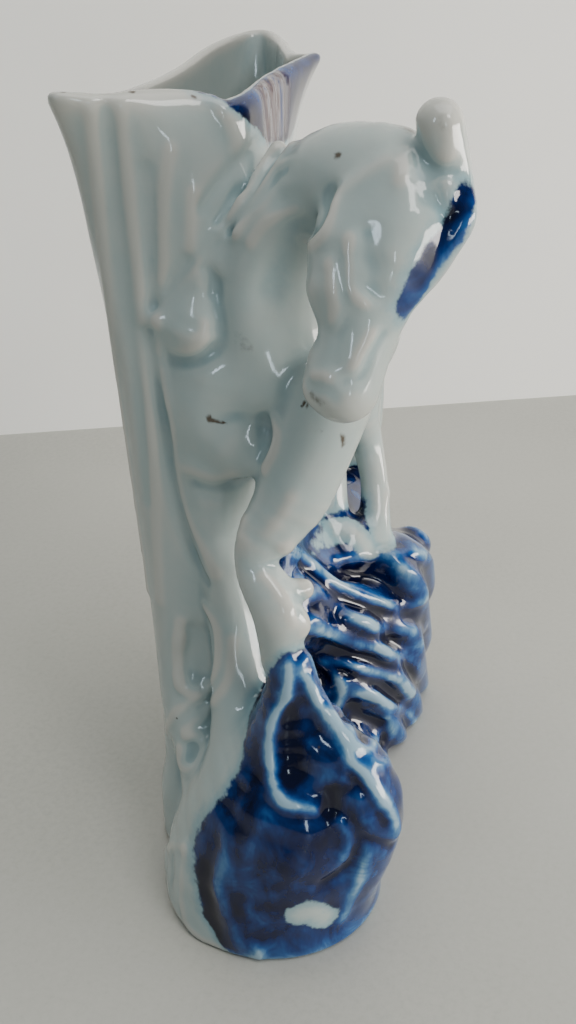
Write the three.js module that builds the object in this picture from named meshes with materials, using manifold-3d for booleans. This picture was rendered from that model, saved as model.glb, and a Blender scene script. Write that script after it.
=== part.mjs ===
// Figural bud vase: a horse in front of a flared tree-trunk vase on a rocky foot.
// One slip-cast porcelain piece. Millimetres, +Z up, the horse faces -X, the display side faces -Y.
import * as THREE from "three";
import { mergeVertices } from "three/addons/utils/BufferGeometryUtils.js";
import ManifoldModule from "manifold-3d";

// Driving sizes of the vase
const RIM_HEIGHT = 140;
const FLARE_START = 92;
const WALL = 2.7;
const CAVITY_FLOOR = 20;
const CAVITY_FLOOR_BLEND = 8;
const LIP_ROUNDING = 1.1;

// The trunk's level sections: height, middle x, middle y, half length, half depth at the back, half
// depth at the front, and how much the front falls back towards the far end
const TRUNK_SECTIONS = [
  [-6, -9.3, 18.6, 35.4, 12.2, 11.5, 0.1],
  [30, -9.3, 18.8, 35, 12.4, 11, 0.1],
  [60, -9.8, 19.9, 35, 12.8, 11, 0.15],
  [92, -10.8, 21.8, 35.4, 13, 11, 0.3],
  [118, -11.2, 24.3, 36.8, 12.2, 11.5, 0.55],
  [140, -11, 25.4, 38, 11.8, 12, 0.6],
];
const TRUNK_SQUARENESS = 0.4;

// The wavy rim, from the corner at the back of the horse's end, round the near end to the front
const RIM = [
  [-54.5, 36.8, 140.2], [-53.5, 28.5, 139.7], [-48.5, 22, 140], [-46, 17, 139.6], [-45.5, 13.5, 138.5],
  [-39, 10.6, 139], [-27, 9.6, 140.3], [-8, 7.3, 141.8], [-3, 11.2, 141], [8, 15, 140.8], [20, 19, 141],
  [30, 24.5, 141.8], [29, 31, 141.6], [18, 35, 140], [0, 36.6, 137.6], [-20, 37, 136.9], [-38, 37.2, 138],
];
const RIM_STEPS = 4;

// The trunk opens out to the rim partly by an even curve and partly by a late, steep one
const FLARE_EVEN = 0.5;
const FLARE_POWER = 7;
const FLARE_LIMIT = 1.06;

// Each form of the figure is a tapering limb: joints [x, y, z, radius] and how softly it blends in
const HORSE = {
  barrel: {
    blend: 4,
    joints: [[-37, 6.5, 97, 12], [-24, 5.4, 94, 11.3], [-6, 5.2, 91.5, 9.9], [9, 4.8, 90, 10.8]],
  },
  withers: { blend: 4, joints: [[-22, 6, 99, 8], [-33, 5.5, 111, 8.6], [-41, 2, 121.5, 7.4]] },
  neck: {
    blend: 4,
    joints: [[-38, 7.5, 102, 10.5], [-41, 7.2, 115.5, 9.3], [-43, 1.8, 125, 7.8], [-46, -4.2, 129.3, 7],
      [-51, -11.5, 130.8, 6.2]],
  },
  head: {
    blend: 2.5,
    joints: [[-54, -14.6, 127.8, 7.4], [-57.5, -12.2, 121.5, 7], [-61, -9.6, 112.8, 5.4],
      [-63.6, -7.9, 104.3, 4.9]],
  },
  cheek: { blend: 2, joints: [[-58, -6.8, 121.4, 6.2], [-60, -6.4, 117.5, 4.6]] },
  chin: { blend: 1.5, joints: [[-62.5, -5.6, 107.5, 3], [-63.5, -5, 104.2, 2.9]] },
  ears: { blend: 1.6, joints: [[-55, -19, 132.4, 3.5], [-56, -18.1, 138.2, 3.2]] },
  forelock: {
    blend: 1.2,
    joints: [[-55, -20.8, 130.5, 2], [-57, -21.8, 126.8, 2], [-58, -20.2, 123.2, 1.9],
      [-59, -17.8, 119.3, 1.9], [-60, -15.4, 116.4, 1.4]],
  },
  leftFore: {
    blend: 2.5,
    joints: [[-46, -2.6, 95.5, 6.6], [-48, 0.8, 85.9, 6.6], [-50, 2.8, 79.7, 5.8], [-53, 6.6, 73.7, 4.1],
      [-54, 7.5, 70.5, 3.3], [-55, 6.2, 67.6, 3.7], [-56, 3.3, 63.4, 4.4], [-56, 3.0, 59.3, 3.9],
      [-56, 3.2, 54.5, 3]],
  },
  brisket: { blend: 3, joints: [[-42, 15, 95, 9], [-44, 12.2, 87.6, 7.4]] },
  fetlockKnob: { blend: 0.8, joints: [[-53.4, 2.6, 65.4, 2], [-52.6, 0.4, 64.6, 1.9]] },
  rightFore: {
    blend: 2.5,
    joints: [[-42, 18.0, 93, 6.6], [-43, 16.8, 80.3, 5.2], [-44, 16.7, 69.8, 3.8], [-45, 14.4, 57.1, 3.4],
      [-46, 12.9, 48, 3.4]],
  },
  rightShoulder: { blend: 2, joints: [[-45, 17.2, 112.6, 2], [-46, 18.2, 106.4, 5]] },
  rightElbow: { blend: 1.6, joints: [[-46, 18.6, 107, 4], [-47, 22.6, 105.8, 2.2]] },
  leftHind: {
    blend: 3,
    joints: [[7, 4.2, 87.5, 7.8], [10.5, 3.2, 77.5, 5.7], [10.4, 2.4, 70.5, 4.2], [13, 1, 64.5, 3.4],
      [10.8, -1.2, 57, 2.9], [7.6, -2.2, 51.5, 3.1], [4.5, -2.6, 46.5, 3.6]],
  },
  rightHind: { blend: 3, joints: [[6, 9, 82, 8.5], [3, 8.6, 71, 5], [5, 7.5, 62, 3.8], [2, 6.5, 51, 4]] },
  tail: {
    blend: 2,
    joints: [[17, 6, 90, 4.5], [23, 5, 86, 4], [26, 4, 76, 4.4], [27, 4.5, 63, 4.8], [28, 6, 50, 5]],
  },
};

// Strands of mane and bark that run down from the crest to the trunk beside the neck
const STRANDS = {
  count: 4,
  from: [-37, 6.8, 129.6],
  to: [-38, 19.6, 117.2],
  fromStep: [0.3, -1.15, -1.2],
  toStep: [0.5, -1.85, -1.9],
  bow: [-1.5, 0.6, 0.6],
  radius: 1.3,
  blend: 1,
};

// Locks of mane that fall over the neck on the display side
const LOCKS = {
  count: 5,
  first: [-50, -9.5, 135],
  last: [-25, 4.5, 111],
  crestRise: 8,
  bend: [1.8, -5.6, -5.8],
  drop: [4, -7.5, -13],
  radius: 2,
  blend: 1.4,
};

// The rock under the fore hoof, its lobes and the block under the hind hooves
const ROCK = {
  spur: {
    blend: 4,
    joints: [[-56.5, 1.5, 52, 3.2], [-55.5, 1, 42, 6.5], [-54, 1, 32, 11], [-52, 2.6, 20, 17],
      [-50, 5.6, 8, 19.4], [-49, 6, -2, 20.2]],
  },
  lobe: {
    blend: 3,
    joints: [[-57.3, -7, 38, 5.4], [-57, -10.6, 29, 7.6], [-56, -9.8, 18, 7.2], [-55, -7, 9, 6.5]],
  },
  backSlope: { blend: 6, joints: [[-20, 10, 40, 8], [4, 11, 44, 9], [24, 10, 44, 9]] },
  shoulder: { blend: 4, joints: [[-3, -2, 4, 9.5], [-4, -1.5, 20, 9], [-9, 2.5, 34, 7]] },
  hoofMound: { blend: 2, joints: [[1, 2.4, 46, 5.4], [6, 0, 43, 5]] },
  rootNear: { blend: 3, joints: [[-42, 14, 56, 4.5], [-47, 12, 44, 5], [-51, 10, 30, 7]] },
  rootBack: { blend: 2.5, joints: [[-38, 23, 52, 4.5], [-41, 22.5, 34, 5.5], [-46, 18, 20, 6]] },
};

// Rounded blocks: the rock under the hind hooves, its root behind, and the foot all round the trunk
const BLOCKS = [
  { middle: [12, 2.8, 18], half: [14, 16.6, 25.5], rounding: 7, blend: 5, fall: 0.3 },
  { middle: [2, 8, 16], half: [19, 14, 23], rounding: 7, blend: 6, fall: 0.1 },
  { middle: [-6, 17, 4], half: [38, 12.6, 12], rounding: 6, blend: 5, fall: 0 },
];

// Raised ridges on the rock under the fore hoof, each a thin limb
const RIDGES = [
  [[-56.4, -0.9, 54.2], [-58.3, -5.2, 45.6], [-59.8, -10.4, 38.6], [-60.8, -14, 32.5]],
  [[-56.5, 1.6, 54], [-57.9, 1.3, 48.2], [-60.5, 3.9, 36.8], [-62.2, -0.2, 29.3], [-62.3, -4.5, 29.1]],
];
const RIDGE_RADIUS = 1.7;
const RIDGE_BLEND = 1.6;

// Slanting flutes on the rock under the hind hooves: they run down and away from the fore hoof
const FLUTES = {
  depth: 0.9,
  pitch: 8.5,
  rise: 0.61,
  run: 0.79,
  sway: 1.6,
  swayPitch: 17,
  from: -34,
  back: 12,
  top: 49,
  fade: [10, 8, 6],
};

// How finely the form is sampled and how many facets are left
const CELL = 1;
const LOW_CORNER = [-73, -26, -5];
const HIGH_CORNER = [42, 42, 147];
const FACETS = 9300;
const SPECK = 0.06;
const BROAD_ENOUGH = 0.12;
const FACING_KEPT = 0.25;
const BREADTH_KEPT = 0.9;
const MERGE_ROUNDS = 6;

// The sampled form runs on this far below the table, and the level cut takes that away
const SPARE_BELOW = 3;

// Smooth joining of two distances
function blendMin(a, b, k) {
  const h = Math.max(k - Math.abs(a - b), 0) / k;
  return Math.min(a, b) - h * h * k * 0.25;
}

// A smooth curve through the joints, closed or open
function smoothCurve(points, steps, closed) {
  const count = points.length;
  const at = (i) => (closed ? points[(i + count) % count] : points[Math.min(Math.max(i, 0), count - 1)]);
  const curve = [];
  const last = closed ? count : count - 1;
  for (let i = 0; i < last; i++) {
    for (let s = 0; s < steps; s++) {
      const t = s / steps;
      const [p, q, r, u] = [at(i - 1), at(i), at(i + 1), at(i + 2)];
      curve.push(q.map((_, k) => 0.5 * (2 * q[k] + (r[k] - p[k]) * t
        + (2 * p[k] - 5 * q[k] + 4 * r[k] - u[k]) * t * t
        + (3 * q[k] - p[k] - 3 * r[k] + u[k]) * t * t * t)));
    }
  }
  if (!closed) curve.push(points[count - 1]);
  return curve;
}

// A tapering limb as straight lengths with a bounding ball
function makeLimb({ blend, joints }) {
  const curve = smoothCurve(joints, joints.length > 2 ? 3 : 1, false);
  const lengths = [];
  for (let i = 0; i + 1 < curve.length; i++) {
    const [a, b] = [curve[i], curve[i + 1]];
    const run = [b[0] - a[0], b[1] - a[1], b[2] - a[2]];
    lengths.push({ a, run, square: run[0] ** 2 + run[1] ** 2 + run[2] ** 2 + 1e-9, taper: b[3] - a[3] });
  }
  const middle = [0, 1, 2].map((k) => curve.reduce((sum, p) => sum + p[k], 0) / curve.length);
  const apart = (p) => Math.hypot(p[0] - middle[0], p[1] - middle[1], p[2] - middle[2]);
  const reach = Math.max(...curve.map((p) => apart(p) + p[3]));
  return { blend, lengths, middle, reach };
}

function limbDistance(limb, x, y, z) {
  let best = Infinity;
  for (const { a, run, square, taper } of limb.lengths) {
    const px = x - a[0];
    const py = y - a[1];
    const pz = z - a[2];
    const t = Math.min(Math.max((px * run[0] + py * run[1] + pz * run[2]) / square, 0), 1);
    const ex = px - run[0] * t;
    const ey = py - run[1] * t;
    const ez = pz - run[2] * t;
    const d = Math.sqrt(ex * ex + ey * ey + ez * ez) - a[3] - taper * t;
    if (d < best) best = d;
  }
  return best;
}

function joinLimbs(start, limbs, x, y, z) {
  let d = start;
  for (const limb of limbs) {
    const { middle } = limb;
    const away = Math.max(d, 0) + limb.blend + limb.reach;
    const apart = (x - middle[0]) ** 2 + (y - middle[1]) ** 2 + (z - middle[2]) ** 2;
    if (apart < away * away) d = blendMin(d, limbDistance(limb, x, y, z), limb.blend);
  }
  return d;
}

// A rounded block whose top falls away towards the far end
function blockDistance({ middle, half, rounding, fall }, x, y, z) {
  const qx = Math.abs(x - middle[0]) - half[0] + rounding;
  const qy = Math.abs(y - middle[1]) - half[1] + rounding;
  const qz = Math.abs(z - middle[2] + fall * (x - middle[0])) - half[2] + rounding;
  const out = Math.sqrt(Math.max(qx, 0) ** 2 + Math.max(qy, 0) ** 2 + Math.max(qz, 0) ** 2);
  return out + Math.min(Math.max(qx, qy, qz), 0) - rounding;
}

// The strands beside the neck, one below the other
function makeStrands() {
  const strands = [];
  for (let s = 0; s < STRANDS.count; s++) {
    const from = STRANDS.from.map((v, k) => v + STRANDS.fromStep[k] * s);
    const to = STRANDS.to.map((v, k) => v + STRANDS.toStep[k] * s);
    const between = from.map((v, k) => (v + to[k]) / 2 + STRANDS.bow[k]);
    const joints = [from, between, to].map((p) => [...p, STRANDS.radius]);
    strands.push(makeLimb({ blend: STRANDS.blend, joints }));
  }
  return strands;
}

// The locks of mane, rooted along the arched crest
function makeLocks() {
  const locks = [];
  for (let s = 0; s < LOCKS.count; s++) {
    const share = s / (LOCKS.count - 1);
    const root = LOCKS.first.map((v, k) => v + (LOCKS.last[k] - v) * share);
    root[2] += LOCKS.crestRise * share * (1 - share);
    const bend = root.map((v, k) => v + LOCKS.bend[k]);
    const tip = root.map((v, k) => v + LOCKS.drop[k]);
    const joints = [[...root, LOCKS.radius * 0.8], [...bend, LOCKS.radius], [...tip, LOCKS.radius * 0.4]];
    locks.push(makeLimb({ blend: LOCKS.blend, joints }));
  }
  return locks;
}

// How far the flutes stand out of the rock or sink into it
function fluteRelief(x, y, z) {
  const within = (v) => Math.min(Math.max(v, 0), 1);
  const [fadeX, fadeY, fadeZ] = FLUTES.fade;
  const lengthwise = within((x - FLUTES.from) / fadeX);
  const place = lengthwise * within((FLUTES.back - y) / fadeY) * within((FLUTES.top - z) / fadeZ);
  if (place === 0) return 0;
  const sway = FLUTES.sway * Math.sin((2 * Math.PI * y) / FLUTES.swayPitch);
  const across = FLUTES.rise * z + FLUTES.run * x + sway;
  return FLUTES.depth * place * Math.cos((2 * Math.PI * across) / FLUTES.pitch);
}

// Trunk section at one height, by straight steps between the named sections
function trunkSection(z) {
  let i = 0;
  while (i < TRUNK_SECTIONS.length - 2 && TRUNK_SECTIONS[i + 1][0] < z) i++;
  const [low, high] = [TRUNK_SECTIONS[i], TRUNK_SECTIONS[i + 1]];
  const t = Math.min(Math.max((z - low[0]) / (high[0] - low[0]), 0), 1.2);
  return low.map((v, k) => v + (high[k] - v) * t);
}

// How far the section has opened out to the rim's own outline at one height
function flare(z) {
  const t = Math.min(Math.max((z - FLARE_START) / (RIM_HEIGHT - FLARE_START), 0), FLARE_LIMIT);
  return FLARE_EVEN * t * t + (1 - FLARE_EVEN) * t ** FLARE_POWER;
}

function trunkOutline(rim, z) {
  const [, mx, my, long, back, front, fall] = trunkSection(z);
  const [, rx, ry, rimLong, rimBack] = trunkSection(RIM_HEIGHT);
  const open = flare(z);
  return rim.map(([x, y]) => {
    const angle = Math.atan2((y - ry) / rimBack, (x - rx) / rimLong);
    const [c, s] = [Math.cos(angle), Math.sin(angle)];
    const along = Math.sign(c) * Math.abs(c) ** TRUNK_SQUARENESS;
    const across = Math.sign(s) * Math.abs(s) ** TRUNK_SQUARENESS;
    const lx = mx + long * along;
    const ly = my + across * (s > 0 ? back : front * (1 - fall * along));
    return [lx + (x - lx) * open, ly + (y - ly) * open];
  });
}

// Signed distance in the level plane to a closed outline, and the rim height at the nearest side
function outlineDistance(outline, heights, x, y) {
  let best = Infinity;
  let inside = false;
  let height = 0;
  const count = outline.length;
  for (let i = 0, j = count - 1; i < count; j = i++) {
    const ax = outline[j][0];
    const ay = outline[j][1];
    const by = outline[i][1];
    const ex = outline[i][0] - ax;
    const ey = by - ay;
    const t = Math.min(Math.max(((x - ax) * ex + (y - ay) * ey) / (ex * ex + ey * ey + 1e-12), 0), 1);
    const d = (x - ax - ex * t) ** 2 + (y - ay - ey * t) ** 2;
    if (d < best) {
      best = d;
      height = heights[j] + (heights[i] - heights[j]) * t;
    }
    if ((ay > y) !== (by > y) && x < ax + (ex * (y - ay)) / ey) inside = !inside;
  }
  return [inside ? -Math.sqrt(best) : Math.sqrt(best), height];
}

// The whole casting sampled on a regular grid of distances
function sampleCasting() {
  const size = LOW_CORNER.map((v, k) => Math.round((HIGH_CORNER[k] - v) / CELL) + 1);
  const [nx, ny, nz] = size;
  const total = nx * ny * nz;
  const trunk = new Float32Array(total);
  const lip = new Float32Array(total);
  const rim = smoothCurve(RIM, RIM_STEPS, true);
  const heights = rim.map((p) => p[2]);
  for (let k = 0; k < nz; k++) {
    const outline = trunkOutline(rim, LOW_CORNER[2] + k * CELL);
    for (let j = 0; j < ny; j++) {
      for (let i = 0; i < nx; i++) {
        const at = i + nx * (j + ny * k);
        const [x, y] = [LOW_CORNER[0] + i * CELL, LOW_CORNER[1] + j * CELL];
        const [d, h] = outlineDistance(outline, heights, x, y);
        trunk[at] = d;
        lip[at] = h;
      }
    }
  }
  const ridges = RIDGES.map((points) => makeLimb({
    blend: RIDGE_BLEND, joints: points.map((p) => [...p, RIDGE_RADIUS]),
  }));
  const rocks = [...Object.values(ROCK).map(makeLimb), ...ridges];
  const figure = [...Object.values(HORSE).map(makeLimb), ...makeStrands(), ...makeLocks()];
  const field = new Float32Array(total);
  const layer = nx * ny;
  for (let k = 0; k < nz; k++) {
    const z = LOW_CORNER[2] + k * CELL;
    const below = Math.max(k - 1, 0);
    const above = Math.min(k + 1, nz - 1);
    for (let j = 0; j < ny; j++) {
      const y = LOW_CORNER[1] + j * CELL;
      for (let i = 0; i < nx; i++) {
        const x = LOW_CORNER[0] + i * CELL;
        const at = i + nx * j + layer * k;
        const spread = trunk[at + (above - k) * layer] - trunk[at + (below - k) * layer];
        const slope = spread / ((above - below) * CELL);
        const wall = trunk[at] / Math.sqrt(1 + slope * slope);
        let d = -blendMin(-wall, lip[at] - z, LIP_ROUNDING * 2);
        for (const block of BLOCKS) d = blendMin(d, blockDistance(block, x, y, z), block.blend);
        d = joinLimbs(d, rocks, x, y, z) - fluteRelief(x, y, z);
        d = joinLimbs(d, figure, x, y, z);
        const hollow = -blendMin(-(wall + WALL), z - CAVITY_FLOOR, CAVITY_FLOOR_BLEND);
        field[at] = Math.max(-blendMin(-d, hollow, LIP_ROUNDING), -SPARE_BELOW - z);
      }
    }
  }
  return { field, size };
}

// A closed skin round the sampled form: every grid cube is split in six tetrahedra
function skinOf({ field, size }) {
  const [nx, ny, nz] = size;
  const step = [1, nx, nx * ny];
  const nearly = 0.1 * CELL;
  for (let i = 0; i < field.length; i++) {
    if (Math.abs(field[i]) < nearly) field[i] = field[i] < 0 ? -nearly : nearly;
  }
  const orders = [[0, 1, 2], [0, 2, 1], [1, 0, 2], [1, 2, 0], [2, 0, 1], [2, 1, 0]];
  const points = [];
  const faces = [];
  const known = new Int32Array(field.length * 7).fill(-1);
  const place = (at) => [at % nx, Math.floor(at / nx) % ny, Math.floor(at / step[2])];
  const crossing = (a, b) => {
    const [low, high] = a < b ? [a, b] : [b, a];
    const [p, q] = [place(low), place(high)];
    const way = (q[0] - p[0]) + 2 * (q[1] - p[1]) + 4 * (q[2] - p[2]) - 1;
    const key = low * 7 + way;
    if (known[key] < 0) {
      const t = field[low] / (field[low] - field[high]);
      known[key] = points.length / 3;
      for (let k = 0; k < 3; k++) points.push(LOW_CORNER[k] + CELL * (p[k] + (q[k] - p[k]) * t));
    }
    return known[key];
  };
  const facing = (a, b, c, inner, outer) => {
    const [p, q, r] = [a, b, c].map((v) => [points[v * 3], points[v * 3 + 1], points[v * 3 + 2]]);
    const normal = cross(p, q, r);
    const [from, to] = [place(inner), place(outer)];
    const side = normal.reduce((sum, v, k) => sum + v * (to[k] - from[k]), 0);
    if (side > 0) faces.push(a, b, c);
    else faces.push(a, c, b);
  };
  const splitTetrahedron = (nodes) => {
    const inner = nodes.filter((n) => field[n] < 0);
    const outer = nodes.filter((n) => field[n] >= 0);
    if (inner.length === 2) {
      const [a, b] = [crossing(inner[0], outer[0]), crossing(inner[0], outer[1])];
      const [c, d] = [crossing(inner[1], outer[1]), crossing(inner[1], outer[0])];
      facing(a, b, c, inner[0], outer[0]);
      facing(a, c, d, inner[0], outer[0]);
    } else if (inner.length && outer.length) {
      const [lone, rest] = inner.length === 1 ? [inner[0], outer] : [outer[0], inner];
      const [a, b, c] = rest.map((n) => crossing(lone, n));
      facing(a, b, c, inner[0], outer[0]);
    }
  };
  for (let k = 0; k + 1 < nz; k++) {
    for (let j = 0; j + 1 < ny; j++) {
      for (let i = 0; i + 1 < nx; i++) {
        const at = i + nx * j + step[2] * k;
        let inside = 0;
        for (let c = 0; c < 8; c++) {
          if (field[at + (c & 1) + (c & 2 ? nx : 0) + (c & 4 ? step[2] : 0)] < 0) inside++;
        }
        if (inside === 0 || inside === 8) continue;
        for (const [p, q, r] of orders) {
          splitTetrahedron([at, at + step[p], at + step[p] + step[q], at + step[p] + step[q] + step[r]]);
        }
      }
    }
  }
  return { points: Float64Array.from(points), faces: Int32Array.from(faces) };
}

// Squared-distance sums to the planes of the facets round each corner
function addPlane(sums, corner, n, d, weight) {
  const row = [n[0], n[1], n[2], d];
  let k = corner * 10;
  for (let i = 0; i < 4; i++) {
    for (let j = i; j < 4; j++) sums[k++] += row[i] * row[j] * weight;
  }
}

function planeError(q, x, y, z) {
  return q[0] * x * x + 2 * q[1] * x * y + 2 * q[2] * x * z + 2 * q[3] * x
    + q[4] * y * y + 2 * q[5] * y * z + 2 * q[6] * y + q[7] * z * z + 2 * q[8] * z + q[9];
}

// The spot nearest to all the planes of a pair of corners, or their middle where that is unclear
function bestSpot(q, p, r) {
  const middle = p.map((v, k) => (v + r[k]) / 2);
  const reach = Math.hypot(p[0] - r[0], p[1] - r[1], p[2] - r[2]);
  const firm = 1e-3 * (q[0] + q[4] + q[7]) + 1e-12;
  const [a, b, c, e, f, g] = [q[0] + firm, q[1], q[2], q[4] + firm, q[5], q[7] + firm];
  const [x, y, z] = [firm * middle[0] - q[3], firm * middle[1] - q[6], firm * middle[2] - q[8]];
  const det = a * (e * g - f * f) - b * (b * g - f * c) + c * (b * f - e * c);
  if (Math.abs(det) < 1e-18) return middle;
  const spot = [
    (x * (e * g - f * f) - b * (y * g - f * z) + c * (y * f - e * z)) / det,
    (a * (y * g - f * z) - x * (b * g - f * c) + c * (b * z - y * c)) / det,
    (a * (e * z - y * f) - b * (b * z - y * c) + x * (b * f - e * c)) / det,
  ];
  const away = Math.hypot(spot[0] - middle[0], spot[1] - middle[1], spot[2] - middle[2]);
  return away > reach ? middle : spot;
}

// A queue that always gives the cheapest entry first
class Queue {
  constructor() {
    this.items = [];
  }

  push(item) {
    const { items } = this;
    let i = items.length;
    items.push(item);
    while (i > 0) {
      const up = (i - 1) >> 1;
      if (items[up].cost <= item.cost) break;
      items[i] = items[up];
      i = up;
    }
    items[i] = item;
  }

  pop() {
    const { items } = this;
    const first = items[0];
    const last = items.pop();
    if (!items.length) return first;
    let i = 0;
    for (;;) {
      let next = 2 * i + 1;
      if (next >= items.length) break;
      if (next + 1 < items.length && items[next + 1].cost < items[next].cost) next++;
      if (items[next].cost >= last.cost) break;
      items[i] = items[next];
      i = next;
    }
    items[i] = last;
    return first;
  }
}

// The square-on direction of a facet, as long as twice its area
function cross(p, q, r) {
  const [ux, uy, uz] = [q[0] - p[0], q[1] - p[1], q[2] - p[2]];
  const [vx, vy, vz] = [r[0] - p[0], r[1] - p[1], r[2] - p[2]];
  return [uy * vz - uz * vy, uz * vx - ux * vz, ux * vy - uy * vx];
}

// How broad a facet is, from 0 for a sliver to 1, and where its face points
function facetForm(p, q, r) {
  const n = cross(p, q, r);
  const size = Math.sqrt(n[0] * n[0] + n[1] * n[1] + n[2] * n[2]);
  const side = (u, v) => (u[0] - v[0]) ** 2 + (u[1] - v[1]) ** 2 + (u[2] - v[2]) ** 2;
  return { n, size, breadth: (1.1547 * size) / Math.max(side(p, q), side(q, r), side(r, p), 1e-12) };
}

// A facet may move only if it keeps facing the same way and stays broad enough; a speck has no sure
// direction of its own, so it is held to the direction of all the facets round it
function staysSound(before, after, allowed, about) {
  const old = facetForm(...before);
  const now = facetForm(...after);
  const guide = old.size < SPECK ? about : old.n;
  const along = guide[0] * now.n[0] + guide[1] * now.n[1] + guide[2] * now.n[2];
  const facesSame = along > FACING_KEPT * Math.hypot(...guide) * now.size;
  return facesSame && now.breadth > Math.min(allowed, old.breadth * BREADTH_KEPT);
}

// Merge corners until the wanted number of facets is left, keeping one closed skin and a level foot
function facet({ points, faces }, wanted) {
  const count = points.length / 3;
  const spots = Array.from({ length: count }, (_, i) => [...points.subarray(3 * i, 3 * i + 3)]);
  const onFoot = spots.map((p) => Math.abs(p[2]) < 1e-5);
  const corners = [];
  for (let f = 0; f < faces.length; f += 3) corners.push([faces[f], faces[f + 1], faces[f + 2]]);
  const round = Array.from({ length: count }, () => new Set());
  const sums = new Float64Array(count * 10);
  const stamp = new Int32Array(count);
  corners.forEach((face, f) => {
    const n = cross(...face.map((v) => spots[v]));
    const area = Math.hypot(...n) || 1e-12;
    const unit = n.map((v) => v / area);
    const d = -(unit[0] * spots[face[0]][0] + unit[1] * spots[face[0]][1] + unit[2] * spots[face[0]][2]);
    for (const v of face) {
      round[v].add(f);
      addPlane(sums, v, unit, d, area);
    }
  });
  onFoot.forEach((foot, v) => foot && addPlane(sums, v, [0, 0, 1], 0, 100));
  const neighbours = (v) => {
    const found = new Set();
    for (const f of round[v]) {
      for (const w of corners[f]) if (w !== v) found.add(w);
    }
    return found;
  };
  const queue = new Queue();
  const sum = new Float64Array(10);
  const offer = (a, b) => {
    for (let k = 0; k < 10; k++) sum[k] = sums[a * 10 + k] + sums[b * 10 + k];
    const spot = bestSpot(sum, spots[a], spots[b]);
    if (onFoot[a] || onFoot[b]) spot[2] = 0;
    const [p, q] = [spots[a], spots[b]];
    const apart = (p[0] - q[0]) ** 2 + (p[1] - q[1]) ** 2 + (p[2] - q[2]) ** 2;
    const cost = Math.max(planeError(sum, spot[0], spot[1], spot[2]), 0) + 1e-4 * apart;
    queue.push({ cost, a, b, spot, seen: stamp[a] + stamp[b] });
  };
  let allowed = BROAD_ENOUGH;
  const offerAll = () => {
    for (let v = 0; v < count; v++) {
      for (const w of neighbours(v)) if (v < w) offer(v, w);
    }
  };
  offerAll();
  const keepsShape = (v, other, spot, about) => {
    for (const f of round[v]) {
      if (corners[f].includes(other)) continue;
      const before = corners[f].map((w) => spots[w]);
      const after = corners[f].map((w) => (w === v ? spot : spots[w]));
      if (!staysSound(before, after, allowed, about)) return false;
    }
    return true;
  };
  const facingRound = (a, b) => {
    const total = [0, 0, 0];
    for (const f of new Set([...round[a], ...round[b]])) {
      cross(...corners[f].map((w) => spots[w])).forEach((v, k) => { total[k] += v; });
    }
    return total;
  };
  let left = corners.length;
  let rounds = 0;
  while (left > wanted && rounds < MERGE_ROUNDS) {
    if (queue.items.length < 2) {
      rounds++;
      allowed *= 0.8;
      offerAll();
    }
    const { a, b, spot, seen } = queue.pop();
    if (!round[a].size || !round[b].size || stamp[a] + stamp[b] !== seen) continue;
    const [nearA, nearB] = [neighbours(a), neighbours(b)];
    const shared = [...nearA].filter((v) => nearB.has(v));
    if (!nearA.has(b) || shared.length !== 2 || nearA.size + nearB.size < 9) continue;
    const about = facingRound(a, b);
    if (!keepsShape(a, b, spot, about) || !keepsShape(b, a, spot, about)) continue;
    for (const f of [...round[b]]) {
      if (corners[f].includes(a)) {
        for (const v of corners[f]) round[v].delete(f);
        corners[f] = null;
        left--;
      } else {
        corners[f] = corners[f].map((v) => (v === b ? a : v));
        round[b].delete(f);
        round[a].add(f);
      }
    }
    spots[a] = spot;
    onFoot[a] = onFoot[a] || onFoot[b];
    for (let k = 0; k < 10; k++) sums[a * 10 + k] += sums[b * 10 + k];
    stamp[a]++;
    for (const v of neighbours(a)) offer(a, v);
  }
  const kept = new Map();
  const flat = [];
  const index = [];
  for (const face of corners.filter(Boolean)) {
    for (const v of face) {
      if (!kept.has(v)) {
        kept.set(v, flat.length / 3);
        flat.push(...spots[v]);
      }
      index.push(kept.get(v));
    }
  }
  return { points: Float64Array.from(flat), faces: Int32Array.from(index) };
}

// Everything below the table is cut away, which leaves the level foot
function cutLevel(wasm, skin) {
  const reach = 400;
  const box = new THREE.BoxGeometry(reach, reach, reach);
  box.deleteAttribute("normal");
  box.deleteAttribute("uv");
  box.translate(0, 0, reach / 2);
  const space = mergeVertices(box);
  const solid = (points, faces) => new wasm.Manifold(new wasm.Mesh({
    numProp: 3, vertProperties: Float32Array.from(points), triVerts: Uint32Array.from(faces),
  }));
  const upper = solid(space.attributes.position.array, space.index.array);
  const cut = solid(skin.points, skin.faces).intersect(upper).getMesh();
  return { points: Float64Array.from(cut.vertProperties), faces: Int32Array.from(cut.triVerts) };
}

// The middle of the casting's plan is put over the origin
function centred(points) {
  const low = [Infinity, Infinity];
  const high = [-Infinity, -Infinity];
  for (let i = 0; i < points.length; i += 3) {
    for (let k = 0; k < 2; k++) {
      low[k] = Math.min(low[k], points[i + k]);
      high[k] = Math.max(high[k], points[i + k]);
    }
  }
  return points.map((v, i) => (i % 3 < 2 ? v - (low[i % 3] + high[i % 3]) / 2 : v));
}

const wasm = await ManifoldModule();
wasm.setup();
const casting = facet(cutLevel(wasm, skinOf(sampleCasting())), FACETS);
const geometry = new THREE.BufferGeometry();
geometry.setAttribute("position", new THREE.BufferAttribute(Float32Array.from(centred(casting.points)), 3));
geometry.setIndex([...casting.faces]);
geometry.computeVertexNormals();

const glaze = new THREE.MeshStandardMaterial({ color: 0xdfe3e0, roughness: 0.18, metalness: 0 });
const vase = new THREE.Mesh(geometry, glaze);
vase.name = "horse_bud_vase";

const group = new THREE.Group();
group.add(vase);
export default group;
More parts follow.
